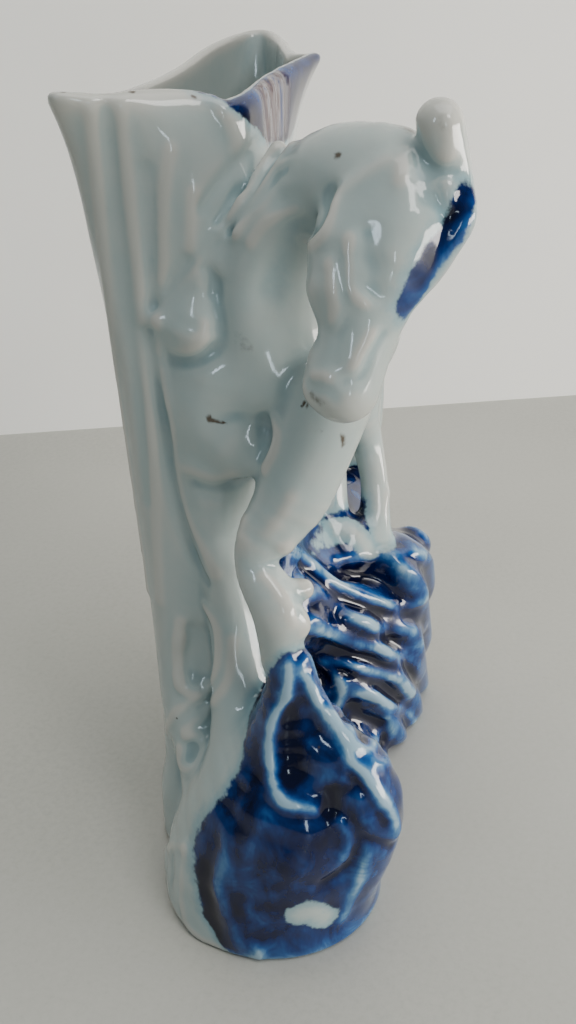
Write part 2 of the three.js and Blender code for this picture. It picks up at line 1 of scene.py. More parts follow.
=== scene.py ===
"""Looks of the figural bud vase: a horse before a flared tree-trunk vase on a rocky foot.

The glazed casting is sampled as distances on a fine grid, skinned as one mesh, and painted by
procedural materials. Forms are given in millimetres in the frame of the part's own source, before
the plan's middle is put over the origin, and the mesh is in metres.
"""
import math

import bpy
import numpy as np
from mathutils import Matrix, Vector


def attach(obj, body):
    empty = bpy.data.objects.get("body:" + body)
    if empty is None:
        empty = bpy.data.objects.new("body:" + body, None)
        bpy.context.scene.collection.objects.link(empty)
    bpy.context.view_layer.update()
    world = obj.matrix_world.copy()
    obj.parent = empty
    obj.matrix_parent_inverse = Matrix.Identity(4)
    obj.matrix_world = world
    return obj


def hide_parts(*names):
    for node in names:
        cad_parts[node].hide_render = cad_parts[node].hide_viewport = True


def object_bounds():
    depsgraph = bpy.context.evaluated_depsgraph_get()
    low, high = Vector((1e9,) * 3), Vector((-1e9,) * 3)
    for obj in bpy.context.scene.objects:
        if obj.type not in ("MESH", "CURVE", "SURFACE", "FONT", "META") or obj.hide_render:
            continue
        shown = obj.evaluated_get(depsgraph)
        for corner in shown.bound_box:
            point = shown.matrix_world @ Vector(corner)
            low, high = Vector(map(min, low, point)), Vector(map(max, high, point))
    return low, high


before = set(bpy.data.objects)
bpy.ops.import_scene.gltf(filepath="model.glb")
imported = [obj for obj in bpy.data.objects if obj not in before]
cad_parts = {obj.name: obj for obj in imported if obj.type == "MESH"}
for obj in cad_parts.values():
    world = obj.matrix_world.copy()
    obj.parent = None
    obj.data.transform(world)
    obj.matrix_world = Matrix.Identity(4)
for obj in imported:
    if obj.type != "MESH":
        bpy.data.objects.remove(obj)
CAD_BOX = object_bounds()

import openvdb
from mathutils import Vector

MM = 0.001
PLAN_MIDDLE = np.array([-18.14, 6.66, 0.0])

# Camera: place and direction of the photograph, in the forms' own frame
CAMERA_PLACE = (-215.0, -35.0, 162.0)
CAMERA_DOWN = 26.5
CAMERA_TURN = 13.0
FOCAL_PIXELS = 1200.0
PICTURE_WIDTH = 576.0
PICTURE_HEIGHT = 1024.0
SENSOR = 36.0

# Driving sizes of the vase
RIM_HEIGHT = 140
FLARE_START = 92
WALL = 2.7
CAVITY_FLOOR = 20
CAVITY_FLOOR_BLEND = 8
LIP_ROUNDING = 1.1
FOOT_ROUNDING = 1.4

# Level sections of the trunk: height, middle x, middle y, half length, half depth at the back, half
# depth at the front, and how much the front falls back towards the far end
TRUNK_SECTIONS = np.array([
    [-6, -9.3, 18.6, 35.4, 12.2, 11.5, 0.1],
    [30, -9.3, 18.8, 35, 12.4, 11, 0.1],
    [60, -9.8, 19.9, 35, 12.8, 11, 0.15],
    [92, -10.8, 21.8, 35.4, 13, 11, 0.3],
    [118, -11.2, 24.3, 36.8, 12.2, 11.5, 0.55],
    [140, -11, 25.4, 38, 11.8, 12, 0.6],
])
TRUNK_SQUARENESS = 0.4

# The wavy rim, from the corner at the back of the horse's end, round the near end to the front
RIM = [
    [-54.5, 36.8, 140.2], [-53.5, 28.5, 139.7], [-48.5, 22, 140], [-46, 17, 139.6],
    [-45.5, 13.5, 138.5], [-39, 10.6, 139], [-27, 9.6, 140.3], [-8, 7.3, 141.8], [-3, 11.2, 141],
    [8, 15, 140.8], [20, 19, 141], [30, 24.5, 141.8], [29, 31, 141.6], [18, 35, 140],
    [0, 36.6, 137.6], [-20, 37, 136.9], [-38, 37.2, 138],
]
RIM_STEPS = 4
FLARE_EVEN = 0.5
FLARE_POWER = 7
FLARE_LIMIT = 1.06

# Limbs of the figure: how softly each blends in, and its joints x, y, z, radius
HORSE = {
    "barrel": (3.5, [[-37, 6.5, 97, 12], [-24, 5.4, 94, 11.3], [-6, 5.2, 91.5, 9.9], [9, 4.8, 90, 10.8]]),
    "withers": (3.5, [[-22, 6, 99, 8], [-33, 5, 111, 8.2], [-41, 0.8, 121.5, 7]]),
    "neck": (3, [[-38, 6.6, 102, 9.8], [-40, 5.6, 114.5, 8.4], [-43, 1, 124.6, 7.5],
                 [-46, -4.2, 129.3, 7], [-51, -11.5, 130.8, 6.2]]),
    "keel": (3, [[-46.6, 5.4, 122.4, 3.4], [-46.2, 8.6, 117, 3.8], [-45.4, 9.8, 110.5, 4.2],
                 [-44.8, 9.6, 103.5, 4.6], [-45.2, 8, 96.5, 4.6]]),
    "head": (2.5, [[-54, -14.6, 127.8, 7.4], [-57.5, -12.2, 121.5, 7], [-61, -9.6, 112.8, 5.4],
                   [-63.6, -7.9, 104.3, 4.9]]),
    "poll": (3, [[-48, -6.5, 127.5, 6.4], [-54, -10, 125.5, 6.6]]),
    "cheek": (3.5, [[-57.4, -7.2, 121.4, 6], [-59.6, -6.4, 117.4, 4.7]]),
    "chin": (1.5, [[-62.5, -5.6, 107.5, 3], [-63.5, -5, 104.2, 2.9]]),
    "ears": (1.6, [[-55, -19, 132.4, 3.5], [-56, -18.1, 138.2, 3.2]]),
    "forelock": (1.2, [[-55, -20.8, 130.5, 2], [-57, -21.8, 126.8, 2], [-58, -20.2, 123.2, 1.9],
                       [-59, -17.8, 119.3, 1.9], [-60, -15.4, 116.4, 1.4]]),
    "left_fore": (2.5, [[-46, -2.6, 95.5, 6.6], [-48, 0.8, 85.9, 6.6], [-50, 2.8, 79.7, 5.8],
                        [-53, 6.6, 73.7, 4.1], [-54, 7.5, 70.5, 3.3], [-55, 6.2, 67.6, 3.7],
                        [-56, 3.3, 63.4, 4.4], [-56, 3.0, 59.3, 3.9], [-56, 3.2, 54.5, 3]]),
    "brisket": (3, [[-41.6, 15, 97, 8.6], [-42.4, 15.4, 91, 7.6], [-44, 12.2, 87.6, 7]]),
    "fetlock_knob": (0.8, [[-53.4, 2.6, 65.4, 2], [-52.6, 0.4, 64.6, 1.9]]),
    "right_fore": (2.5, [[-42, 18.0, 93, 6.6], [-43, 16.8, 80.3, 5.2], [-44, 16.7, 69.8, 3.8],
                         [-45, 14.4, 57.1, 3.4], [-46, 12.9, 48, 3.4]]),
    "shoulder_blade": (1.6, [[-46.6, 16.2, 115.4, 1.3], [-46, 17.6, 110.6, 3], [-45.4, 18.2, 106.2, 4.9]]),
    "shoulder_knob": (1.4, [[-45.6, 20, 106.4, 3.6], [-46.8, 23.4, 106.4, 1.9]]),
    "left_hind": (3, [[7, 4.2, 87.5, 7.8], [10.5, 3.2, 77.5, 5.7], [10.4, 2.4, 70.5, 4.2],
                      [13, 1, 64.5, 3.4], [10.8, -1.2, 57, 2.9], [7.6, -2.2, 51.5, 3.1],
                      [4.5, -2.6, 46.5, 3.6]]),
    "right_hind": (3, [[6, 9, 82, 8.5], [3, 8.6, 71, 5], [5, 7.5, 62, 3.8], [2, 6.5, 51, 4]]),
    "tail": (2, [[17, 6, 90, 4.5], [23, 5, 86, 4], [26, 4, 76, 4.4], [27, 4.5, 63, 4.8],
                 [28, 6, 50, 5]]),
}

# Strands that run down from the crest to the trunk beside the neck, and locks of mane
STRANDS = [
    [[-36, 10.4, 131, 1.2], [-43.4, 12.4, 127, 1.2], [-46.2, 16, 121.6, 1.1]],
    [[-41, 6.6, 131.6, 1.3], [-45.6, 9.6, 126.8, 1.2], [-47, 13.6, 121, 1.1]],
    [[-43.6, 3.6, 132, 1.3], [-47.2, 6.6, 127.2, 1.3], [-48, 11, 121.2, 1.1]],
]
LOCK_COUNT = 5
LOCK_FIRST = np.array([-50, -9.5, 135])
LOCK_LAST = np.array([-25, 4.5, 111])
LOCK_CREST_RISE = 8
LOCK_BEND = np.array([1.8, -5.6, -5.8])
LOCK_DROP = np.array([4, -7.5, -13])
LOCK_RADIUS = 2

# The rock under the fore hoof, its lobes, and the rock under the hind hooves
ROCK = {
    "spur": (4, [[-56.5, 1.5, 52, 3.2], [-55.5, 1, 42, 6.5], [-54, 1, 32, 11], [-52, 2.6, 20, 17],
                 [-50, 5.6, 8, 19.4], [-49, 6, -2, 20.2]]),
    "lobe": (3, [[-57.3, -7, 38, 5.4], [-57, -10.6, 29, 7.6], [-56, -9.8, 18, 7.2],
                 [-55, -7, 9, 6.5]]),
    "back_slope": (6, [[-20, 10, 40, 8], [4, 11, 44, 9], [24, 10, 44, 9]]),
    "shoulder": (4, [[-3, -2, 4, 9.5], [-4, -1.5, 20, 9], [-9, 2.5, 34, 7]]),
    "hoof_mound": (2, [[1, 2.4, 46, 5.4], [6, 0, 43, 5]]),
    "root_near": (3, [[-42, 14, 56, 4.5], [-47, 12, 44, 5], [-51, 10, 30, 7]]),
    "root_back": (2.5, [[-38, 23, 52, 4.5], [-41, 22.5, 34, 5.5], [-46, 18, 20, 6]]),
}
BLOCKS = [
    {"middle": [12, 2.8, 18], "half": [14, 16.6, 25.5], "rounding": 7, "blend": 5, "fall": 0.3},
    {"middle": [2, 8, 16], "half": [19, 14, 23], "rounding": 7, "blend": 6, "fall": 0.1},
    {"middle": [-6, 17, 4], "half": [38, 12.6, 12], "rounding": 6, "blend": 5, "fall": 0},
]
RIDGES = [
    [[-56.4, -0.9, 54.2], [-58.3, -5.2, 45.6], [-59.8, -10.4, 38.6], [-60.8, -14, 32.5]],
    [[-56.5, 1.6, 54], [-57.9, 1.3, 48.2], [-60.5, 3.9, 36.8], [-62.2, -0.2, 29.3],
     [-62.3, -4.5, 29.1]],
]
RIDGE_RADIUS = 1.7
RIDGE_BLEND = 1.6
FLUTES = {"depth": 0.9, "pitch": 8.5, "rise": 0.61, "run": 0.79, "sway": 1.6, "sway_pitch": 17,
          "start": -34, "back": 12, "top": 49, "fade": (10, 8, 6)}

# Fine relief that the photograph shows: height in mm (below zero is a groove), width in mm, and the
# line that it follows, given by pixels of the photograph that are carried onto the skin
RELIEF = {
    "rock_middle_ridge": (0.9, 1.0, [[288, 660], [287, 696], [272, 721], [269, 751], [273, 783], [283, 802],
                                     [298, 807], [314, 809]]),
    "rock_right_ridge": (0.8, 1.2, [[303, 665], [319, 701], [340, 728], [352, 761], [365, 776], [388, 804],
                                    [397, 828]]),
    "rock_oval": (-1.5, 2.4, [[291, 716], [292, 745], [293, 772]]),
    "rock_hollow_2": (-1.0, 1.6, [[334, 795], [333, 808]]),
    "rock_bulge": (0.8, 3.4, [[314, 838], [304, 862], [290, 872]]),
    "rock_bulge_edge": (-1.0, 1.0, [[350, 792], [346, 815], [357, 834], [351, 864], [323, 885]]),
    "rock_bulge_lip": (0.6, 0.9, [[345, 800], [340, 818], [350, 836], [345, 858]]),
    "rock_right_fold": (0.6, 1.1, [[372, 800], [392, 818], [396, 836]]),
    "rock_right_groove": (-0.8, 0.8, [[352, 772], [370, 800], [386, 822]]),
    "rock_low_groove": (-0.8, 0.7, [[362, 838], [378, 842], [392, 846]]),
    "rock_low_fold": (0.5, 1.3, [[366, 856], [358, 884], [342, 918]]),
    "rock_left_dip": (-0.6, 1.8, [[236, 790], [216, 840], [207, 880], [214, 930]]),
    "rock_left_swell": (0.5, 1.8, [[222, 826], [225, 861], [216, 885], [228, 912], [240, 944]]),
    "rock_edge_roll": (0.5, 1.2, [[186, 850], [183, 880], [186, 920], [206, 948]]),
    "rock_droplet": (0.9, 1.1, [[258, 951], [258, 955]]),
    "far_flute_1": (1.2, 1.5, [[305, 627], [325, 633], [351, 643], [380, 650], [412, 660], [420, 676]]),
    "far_groove_1": (-1.0, 1.1, [[318, 640], [345, 652], [378, 663], [398, 672]]),
    "far_flute_2": (1.1, 1.4, [[322, 658], [345, 663], [374, 669], [399, 681], [411, 694]]),
    "far_groove_2": (-1.0, 1.1, [[344, 672], [370, 682], [397, 700]]),
    "far_flute_3": (1.2, 1.2, [[322, 662], [336, 675], [342, 692], [336, 710]]),
    "far_groove_3": (-1.0, 1.2, [[310, 668], [322, 684], [326, 706]]),
    "far_flute_4": (1.1, 1.3, [[356, 693], [376, 697], [395, 706], [412, 720], [414, 738], [398, 753],
                               [372, 764]]),
    "far_groove_4": (-1.0, 1.1, [[352, 704], [362, 716], [384, 722]]),
    "far_scroll": (1.0, 1.0, [[349, 728], [353, 742], [364, 750], [375, 744], [377, 731]]),
    "far_scroll_hollow": (-1.0, 1.0, [[361, 728], [364, 738]]),
    "far_scroll_fold": (0.7, 0.9, [[386, 718], [391, 732], [383, 748]]),
    "far_upper_1": (1.1, 1.3, [[286, 546], [310, 562], [338, 585], [366, 600], [398, 606], [424, 600]]),
    "far_upper_groove": (-1.0, 1.1, [[300, 562], [330, 586], [360, 604], [392, 612]]),
    "far_upper_2": (1.1, 1.4, [[300, 580], [322, 600], [352, 616], [386, 628], [422, 630]]),
    "far_upper_groove_2": (-0.9, 1.1, [[300, 598], [326, 616], [356, 630], [390, 642]]),
    "far_rim": (0.7, 1.2, [[340, 560], [372, 556], [402, 552], [424, 556]]),
    "leaf_ring": (0.9, 0.9, [[181, 622], [178, 650], [181, 686], [199, 694], [213, 680], [219, 655],
                             [217, 628], [206, 606]]),
    "leaf_hollow": (-1.2, 2.2, [[196, 634], [195, 655], [196, 672]]),
    "leaf_flow": (0.7, 0.9, [[199, 697], [176, 712], [167, 730]]),
    "leaf_flow_2": (0.6, 1.0, [[232, 640], [228, 680], [208, 708], [186, 730]]),
    "leaf_pads": (0.7, 1.0, [[181, 636], [180, 644]]),
    "leaf_pads_2": (0.7, 1.0, [[179, 676], [180, 684]]),
    "small_loop": (0.8, 0.8, [[186, 736], [198, 735], [205, 746], [200, 760], [190, 770], [180, 764],
                              [180, 748]]),
    "small_hollow": (-0.8, 1.1, [[191, 748], [190, 756]]),
    "pad_edge": (0.8, 0.9, [[166, 846], [160, 868], [160, 892], [170, 914]]),
    "pad_top": (0.5, 0.9, [[164, 850], [174, 846], [186, 848]]),
    "pad_hollow": (-0.6, 1.2, [[172, 858], [170, 884]]),
    "wall_flute_1": (0.7, 0.9, [[91, 112], [98, 190], [106, 280], [118, 380], [132, 480], [146, 590]]),
    "wall_flute_2": (0.6, 0.9, [[120, 110], [130, 200], [142, 300], [150, 400], [156, 500], [160, 600]]),
    "wall_flute_3": (0.6, 0.9, [[170, 150], [164, 200], [163, 260], [160, 300]]),
    "wall_flute_4": (0.6, 0.8, [[194, 192], [191, 220], [190, 252]]),
    "wall_groove_1": (-0.5, 1.2, [[106, 112], [114, 200], [125, 300], [138, 400], [146, 500]]),
    "wall_groove_2": (-0.5, 1.2, [[146, 170], [150, 240], [152, 300]]),
    "strand_groove_1": (-0.9, 0.9, [[272, 155], [250, 177], [230, 200], [216, 222]]),
    "strand_groove_2": (-0.9, 0.9, [[284, 170], [262, 192], [244, 212], [228, 230]]),
    "strand_groove_3": (-0.7, 1.0, [[262, 142], [238, 162], [216, 188], [203, 208]]),
    "body_edge": (0.6, 0.8, [[158, 338], [160, 361], [168, 400], [174, 426], [180, 478], [190, 517],
                             [201, 544], [216, 574]]),
    "body_groove": (-1.0, 1.1, [[147, 332], [150, 361], [157, 400], [163, 430], [169, 478], [179, 520],
                                [190, 550], [206, 582]]),
    "blade_left": (0.5, 0.8, [[155, 318], [176, 290], [199, 261]]),
    "blade_notch": (-0.9, 0.9, [[207, 268], [212, 279], [213, 292]]),
    "blade_groove": (-0.5, 1.3, [[152, 306], [170, 284], [190, 260]]),
    "blade_plane": (-0.5, 2.6, [[190, 296], [186, 320]]),
    "blade_foot": (0.6, 1.2, [[168, 342], [178, 349], [190, 350], [201, 344], [206, 326]]),
    "blade_under": (-0.4, 1.4, [[164, 361], [180, 364], [196, 362], [212, 350]]),
    "grey_edge": (0.6, 1.6, [[186, 468], [214, 476], [244, 470], [260, 455]]),
    "grey_under": (-0.5, 1.6, [[196, 484], [216, 490], [240, 484]]),
    "elbow_vein": (1.1, 1.0, [[275, 420], [278, 434], [274, 452], [266, 468]]),
    "elbow_fold": (-0.7, 1.3, [[266, 420], [267, 438], [262, 456]]),
    "throat_edge": (0.6, 1.0, [[296, 209], [278, 216], [262, 226], [250, 242]]),
    "throat_hollow": (-1.0, 4.2, [[289, 240], [277, 262], [268, 288]]),
    "neck_edge": (0.5, 1.2, [[283, 165], [272, 192], [255, 213], [238, 230], [226, 248], [219, 268]]),
    "jaw_groove": (-1.3, 1.6, [[327, 196], [321, 214], [309, 232]]),
    "jaw_arc": (0.7, 0.9, [[302, 242], [316, 242], [328, 225], [334, 206]]),
    "jaw_rise": (0.4, 1.8, [[336, 196], [356, 182], [386, 162]]),
    "cheek_ridge": (0.6, 0.8, [[350, 238], [347, 262], [348, 284], [356, 297], [366, 303]]),
    "cheek_front": (0.6, 1.0, [[330, 264], [333, 285], [335, 302], [334, 320]]),
    "cheek_valley": (-0.5, 0.8, [[341, 262], [342, 280], [343, 296]]),
    "cheek_dip": (-0.5, 1.6, [[368, 236], [372, 262], [376, 290]]),
    "temple": (0.5, 1.0, [[408, 152], [403, 166], [400, 180]]),
    "temple_dip": (-0.8, 1.8, [[424, 176], [428, 196]]),
    "ear_base": (-0.8, 1.0, [[416, 134], [420, 156], [438, 170], [456, 172]]),
    "ear_ridge": (0.5, 0.9, [[449, 118], [450, 140], [447, 158], [436, 160]]),
    "brow": (0.6, 1.2, [[444, 182], [458, 186]]),
    "eye": (1.0, 0.9, [[447, 194], [449, 204]]),
    "eye_rim": (-0.6, 0.7, [[440, 192], [440, 206], [446, 214]]),
    "nose_side": (0.5, 0.9, [[373, 334], [362, 352], [351, 373]]),
    "nose_side_dip": (-0.6, 1.1, [[384, 336], [372, 356], [362, 378]]),
    "nose_plane": (-0.4, 1.6, [[342, 326], [338, 346], [336, 362]]),
    "nostril": (-0.7, 0.8, [[345, 384], [350, 376]]),
    "chin_bead_1": (0.5, 0.8, [[314, 376], [316, 378]]),
    "chin_bead_2": (0.5, 0.8, [[324, 376], [328, 379]]),
    "mouth": (-0.6, 0.6, [[308, 384], [318, 386], [330, 390], [336, 398]]),
    "hoof_top": (0.5, 0.8, [[262, 573], [274, 586], [286, 604], [294, 622]]),
    "hoof_dip": (-0.5, 1.0, [[286, 580], [296, 596], [300, 612]]),
    "knee": (0.4, 1.6, [[243, 520], [242, 540]]),
    "leg_plane": (0.4, 1.2, [[292, 496], [284, 512], [270, 530]]),
    "lip_wave": (0.3, 1.0, [[52, 95], [96, 94], [150, 92], [190, 93]]),
}

# Relief on the sides that the photograph doesn't show, in the forms' own frame
HIDDEN_RELIEF = {
    "flank": (-0.9, 4.5, [[-3, -4.2, 88], [0.5, -3.6, 95]]),
    "shoulder_line": (-0.7, 2.4, [[-33, -6.2, 103], [-37, -5.8, 95]]),
    "stifle": (-0.7, 2.0, [[2, -3.6, 84], [6, -2.6, 78]]),
    "hoof_far": (0.5, 0.9, [[4.6, -5.6, 52.6], [7.6, -5.4, 54.2], [10.6, -3.4, 54.6]]),
    "eye_left": (0.8, 1.0, [[-50.6, -20.4, 125.3], [-51, -20.1, 124.7]]),
}
FOLD_GROOVES = {"count": 4, "first": [-35.6, 9.4, 131.6], "last": [-24.4, 9.2, 130.6],
                "rise": 9.0, "depth": -0.7, "width": 0.8}
TAIL_GROOVES = {"count": 4, "depth": -0.6, "width": 0.8, "around": 4.6}

# Search for the skin along a line of sight
NEAR_SIGHT = 120.0
SIGHT_STEPS = 90
SIGHT_CAUTION = 0.7
LONGEST_STEP = 8.0

CELL = 0.5
LOW_CORNER = np.array([-73.0, -26.0, -5.0])
HIGH_CORNER = np.array([36.0, 40.0, 146.0])
TRUNK_LOW = np.array([-62.0, -2.0])
MARGIN = 3.0
FAR = 20.0
TRIANGLES = 186000

XS = np.arange(LOW_CORNER[0], HIGH_CORNER[0] + 0.1, CELL, dtype=np.float32)
YS = np.arange(LOW_CORNER[1], HIGH_CORNER[1] + 0.1, CELL, dtype=np.float32)
ZS = np.arange(LOW_CORNER[2], HIGH_CORNER[2] + 0.1, CELL, dtype=np.float32)


# The camera's line of sight, its right and its up, in the forms' own frame
def camera_axes():
    down, turn = math.radians(CAMERA_DOWN), math.radians(CAMERA_TURN)
    forward = np.array([math.cos(turn) * math.cos(down), math.sin(turn) * math.cos(down), -math.sin(down)])
    right = np.array([math.sin(turn), -math.cos(turn), 0.0])
    return forward, right, np.cross(right, forward)


# Smooth joining of two distances
def blend_min(a, b, k):
    h = np.maximum(k - np.abs(a - b), 0) / k
    return np.minimum(a, b) - h * h * (k * 0.25)


# A smooth curve through the joints, closed or open
def smooth_curve(points, steps, closed=False):
    p = np.array(points, dtype=np.float64)
    count = len(p)
    spans = count if closed else count - 1
    curve = []
    for i in range(spans):
        around = [i - 1, i, i + 1, i + 2]
        if closed:
            a, b, c, d = (p[j % count] for j in around)
        else:
            a, b, c, d = (p[min(max(j, 0), count - 1)] for j in around)
        for s in range(steps):
            t = s / steps
            curve.append(0.5 * (2 * b + (c - a) * t + (2 * a - 5 * b + 4 * c - d) * t * t
                                + (3 * b - a - 3 * c + d) * t ** 3))
    if not closed:
        curve.append(p[-1])
    return np.array(curve)


# The part of the grid that lies within reach of a line's points
def block_round(points, reach):
    low = np.min(points[:, :3] - reach, axis=0)
    high = np.max(points[:, :3] + reach, axis=0)
    cuts = []
    for k, line in enumerate((XS, YS, ZS)):
        start = max(int(math.floor((low[k] - line[0]) / CELL)), 0)
        stop = min(int(math.ceil((high[k] - line[0]) / CELL)) + 1, len(line))
        cuts.append(slice(start, max(stop, start)))
    return tuple(cuts)


# Least distance from the grid points of a block to a line, less its radius where it has one
def line_distance(cuts, curve):
    x = XS[cuts[0]][:, None, None]
    y = YS[cuts[1]][None, :, None]
    z = ZS[cuts[2]][None, None, :]
    best = None
    for a, b in zip(curve[:-1], curve[1:]):
        run = b[:3] - a[:3]
        square = float(run @ run) + 1e-9
        along = ((x - a[0]) * run[0] + (y - a[1]) * run[1] + (z - a[2]) * run[2]) / square
        t = np.clip(along, 0, 1).astype(np.float32)
        ex = x - a[0] - run[0] * t
        ey = y - a[1] - run[1] * t
        ez = z - a[2] - run[2] * t
        d = np.sqrt(ex * ex + ey * ey + ez * ez)
        if len(a) > 3:
            d = d - (a[3] + (b[3] - a[3]) * t)
        best = d if best is None else np.minimum(best, d)
    return best.astype(np.float32)


def add_limb(field, blend, joints):
    curve = smooth_curve(joints, 3) if len(joints) > 2 else np.array(joints, dtype=np.float64)
    cuts = block_round(curve, curve[:, 3].max() + blend + MARGIN)
    field[cuts] = blend_min(field[cuts], line_distance(cuts, curve), blend)


def raise_line(field, height, width, curve):
    cuts = block_round(curve, width * 2.5)
    away = line_distance(cuts, curve) / width
    field[cuts] -= (height * np.exp(-away * away)).astype(np.float32)


def add_block(field, form):
    middle = np.array(form["middle"], dtype=np.float64)
    half = np.array(form["half"], dtype=np.float64)
    spread = half + form["blend"] + MARGIN
    spread[2] += form["fall"] * spread[0]
    cuts = block_round(np.array([middle - spread, middle + spread]), 0)
    x = XS[cuts[0]][:, None, None] - middle[0]
    y = YS[cuts[1]][None, :, None] - middle[1]
    z = ZS[cuts[2]][None, None, :] - middle[2]
    qx = np.abs(x) - half[0] + form["rounding"] + 0 * (y + z)
    qy = np.abs(y) - half[1] + form["rounding"] + 0 * (x + z)
    qz = np.abs(z + form["fall"] * x) - half[2] + form["rounding"] + 0 * y
    out = np.sqrt(np.maximum(qx, 0) ** 2 + np.maximum(qy, 0) ** 2 + np.maximum(qz, 0) ** 2)
    d = out + np.minimum(np.maximum(np.maximum(qx, qy), qz), 0) - form["rounding"]
    field[cuts] = blend_min(field[cuts], d.astype(np.float32), form["blend"])


# Slanting flutes on the rock under the hind hooves
def add_flutes(field):
    f = FLUTES
    x = XS[:, None, None]
    y = YS[None, :, None]
    z = ZS[None, None, :]
    place = (np.clip((x - f["start"]) / f["fade"][0], 0, 1) * np.clip((f["back"] - y) / f["fade"][1], 0, 1)
             * np.clip((f["top"] - z) / f["fade"][2], 0, 1))
    sway = f["sway"] * np.sin(2 * np.pi * y / f["sway_pitch"])
    across = f["rise"] * z + f["run"] * x + sway
    field -= (f["depth"] * place * np.cos(2 * np.pi * across / f["pitch"])).astype(np.float32)


def trunk_section(z):
    i = 0
    while i < len(TRUNK_SECTIONS) - 2 and TRUNK_SECTIONS[i + 1][0] < z:
        i += 1
    low, high = TRUNK_SECTIONS[i], TRUNK_SECTIONS[i + 1]
    t = min(max((z - low[0]) / (high[0] - low[0]), 0), 1.2)
    return low + (high - low) * t


# The trunk's outline at one height, which opens out to the rim's own outline
def trunk_outline(rim, z):
    _, mx, my, long, back, front, fall = trunk_section(z)
    _, rx, ry, rim_long, rim_back = trunk_section(RIM_HEIGHT)[:5]
    t = min(max((z - FLARE_START) / (RIM_HEIGHT - FLARE_START), 0), FLARE_LIMIT)
    open_share = FLARE_EVEN * t * t + (1 - FLARE_EVEN) * t ** FLARE_POWER
    angle = np.arctan2((rim[:, 1] - ry) / rim_back, (rim[:, 0] - rx) / rim_long)
    c, s = np.cos(angle), np.sin(angle)
    along = np.sign(c) * np.abs(c) ** TRUNK_SQUARENESS
    across = np.sign(s) * np.abs(s) ** TRUNK_SQUARENESS
    lx = mx + long * along
    ly = my + across * np.where(s > 0, back, front * (1 - fall * along))
    return np.stack([lx + (rim[:, 0] - lx) * open_share, ly + (rim[:, 1] - ly) * open_share], 1)


# Signed distance in the level plane to a closed outline, and the rim height at the nearest side
def outline_distance(outline, heights, x, y):
    a = outline.astype(np.float32)
    b = np.roll(outline, -1, axis=0).astype(np.float32)
    rise = np.roll(heights, -1) - heights
    e = b - a
    px = x[:, None] - a[None, :, 0]
    py = y[:, None] - a[None, :, 1]
    t = np.clip((px * e[:, 0] + py * e[:, 1]) / ((e * e).sum(1) + 1e-9), 0, 1)
    d = (px - e[:, 0] * t) ** 2 + (py - e[:, 1] * t) ** 2
    nearest = d.argmin(1)
    rows = np.arange(len(x))
    height = heights[nearest] + rise[nearest] * t[rows, nearest]
    crosses = (a[:, 1] > y[:, None]) != (b[:, 1] > y[:, None])
    level = np.where(np.abs(e[:, 1]) < 1e-9, 1e-9, e[:, 1])
    crosses &= px < e[:, 0] * py / level
    inside = crosses.sum(1) % 2 == 1
    away = np.sqrt(d[rows, nearest])
    return np.where(inside, -away, away), height


# Distance to the trunk's wall and the rim height near it, over the whole grid
def sample_trunk():
    rim = smooth_curve(RIM, RIM_STEPS, closed=True)
    heights = rim[:, 2].astype(np.float32)
    i0 = int((TRUNK_LOW[0] - XS[0]) / CELL)
    j0 = int((TRUNK_LOW[1] - YS[0]) / CELL)
    gx, gy = np.meshgrid(XS[i0:], YS[j0:], indexing="ij")
    flat_x, flat_y = gx.ravel(), gy.ravel()
    levels = list(range(0, len(ZS), 2))
    if levels[-1] != len(ZS) - 1:
        levels.append(len(ZS) - 1)
    walls, lips = [], []
    for k in levels:
        d, h = outline_distance(trunk_outline(rim, float(ZS[k])), heights, flat_x, flat_y)
        walls.append(d.reshape(gx.shape))
        lips.append(h.reshape(gx.shape))
    spacing = np.diff(ZS[levels])
    walls = np.stack(walls, 2).astype(np.float32)
    lips = np.stack(lips, 2).astype(np.float32)
    slope = np.gradient(walls, ZS[levels], axis=2)
    walls = walls / np.sqrt(1 + slope * slope)
    wall = np.full((len(XS), len(YS), len(ZS)), FAR, dtype=np.float32)
    lip = np.full_like(wall, RIM_HEIGHT)
    part = (slice(i0, None), slice(j0, None))
    for n, (k, gap) in enumerate(zip(levels[:-1], spacing)):
        for m in range(levels[n + 1] - k):
            t = (ZS[k + m] - ZS[k]) / gap
            wall[part + (k + m,)] = walls[..., n] * (1 - t) + walls[..., n + 1] * t
            lip[part + (k + m,)] = lips[..., n] * (1 - t) + lips[..., n + 1] * t
    wall[part + (levels[-1],)] = walls[..., -1]
    lip[part + (levels[-1],)] = lips[..., -1]
    return wall, lip


def add_strands(field):
    for joints in STRANDS:
        add_limb(field, 0.8, joints)


def add_locks(field):
    for s in range(LOCK_COUNT):
        share = s / (LOCK_COUNT - 1)
        root = LOCK_FIRST + (LOCK_LAST - LOCK_FIRST) * share
        root[2] += LOCK_CREST_RISE * share * (1 - share)
        joints = [[*root, LOCK_RADIUS * 0.8], [*(root + LOCK_BEND), LOCK_RADIUS],
                  [*(root + LOCK_DROP), LOCK_RADIUS * 0.4]]
        add_limb(field, 1.4, joints)


# Lines that repeat: the folded corner of the rim and the hair of the tail
def add_repeated_grooves(field):
    f = FOLD_GROOVES
    for s in range(f["count"]):
        low = np.array(f["first"]) + (np.array(f["last"]) - np.array(f["first"])) * s / (f["count"] - 1)
        high = low + np.array([0.4, 0.6, f["rise"]])
        raise_line(field, f["depth"], f["width"], np.array([low, high]))
    g = TAIL_GROOVES
    tail = np.array(HORSE["tail"][1])[1:]
    for s in range(g["count"]):
        angle = math.pi * (1.05 + 0.3 * s)
        shift = np.array([math.cos(angle + 0.4), math.sin(angle), 0]) * g["around"]
        raise_line(field, g["depth"], g["width"], tail[:, :3] + shift)


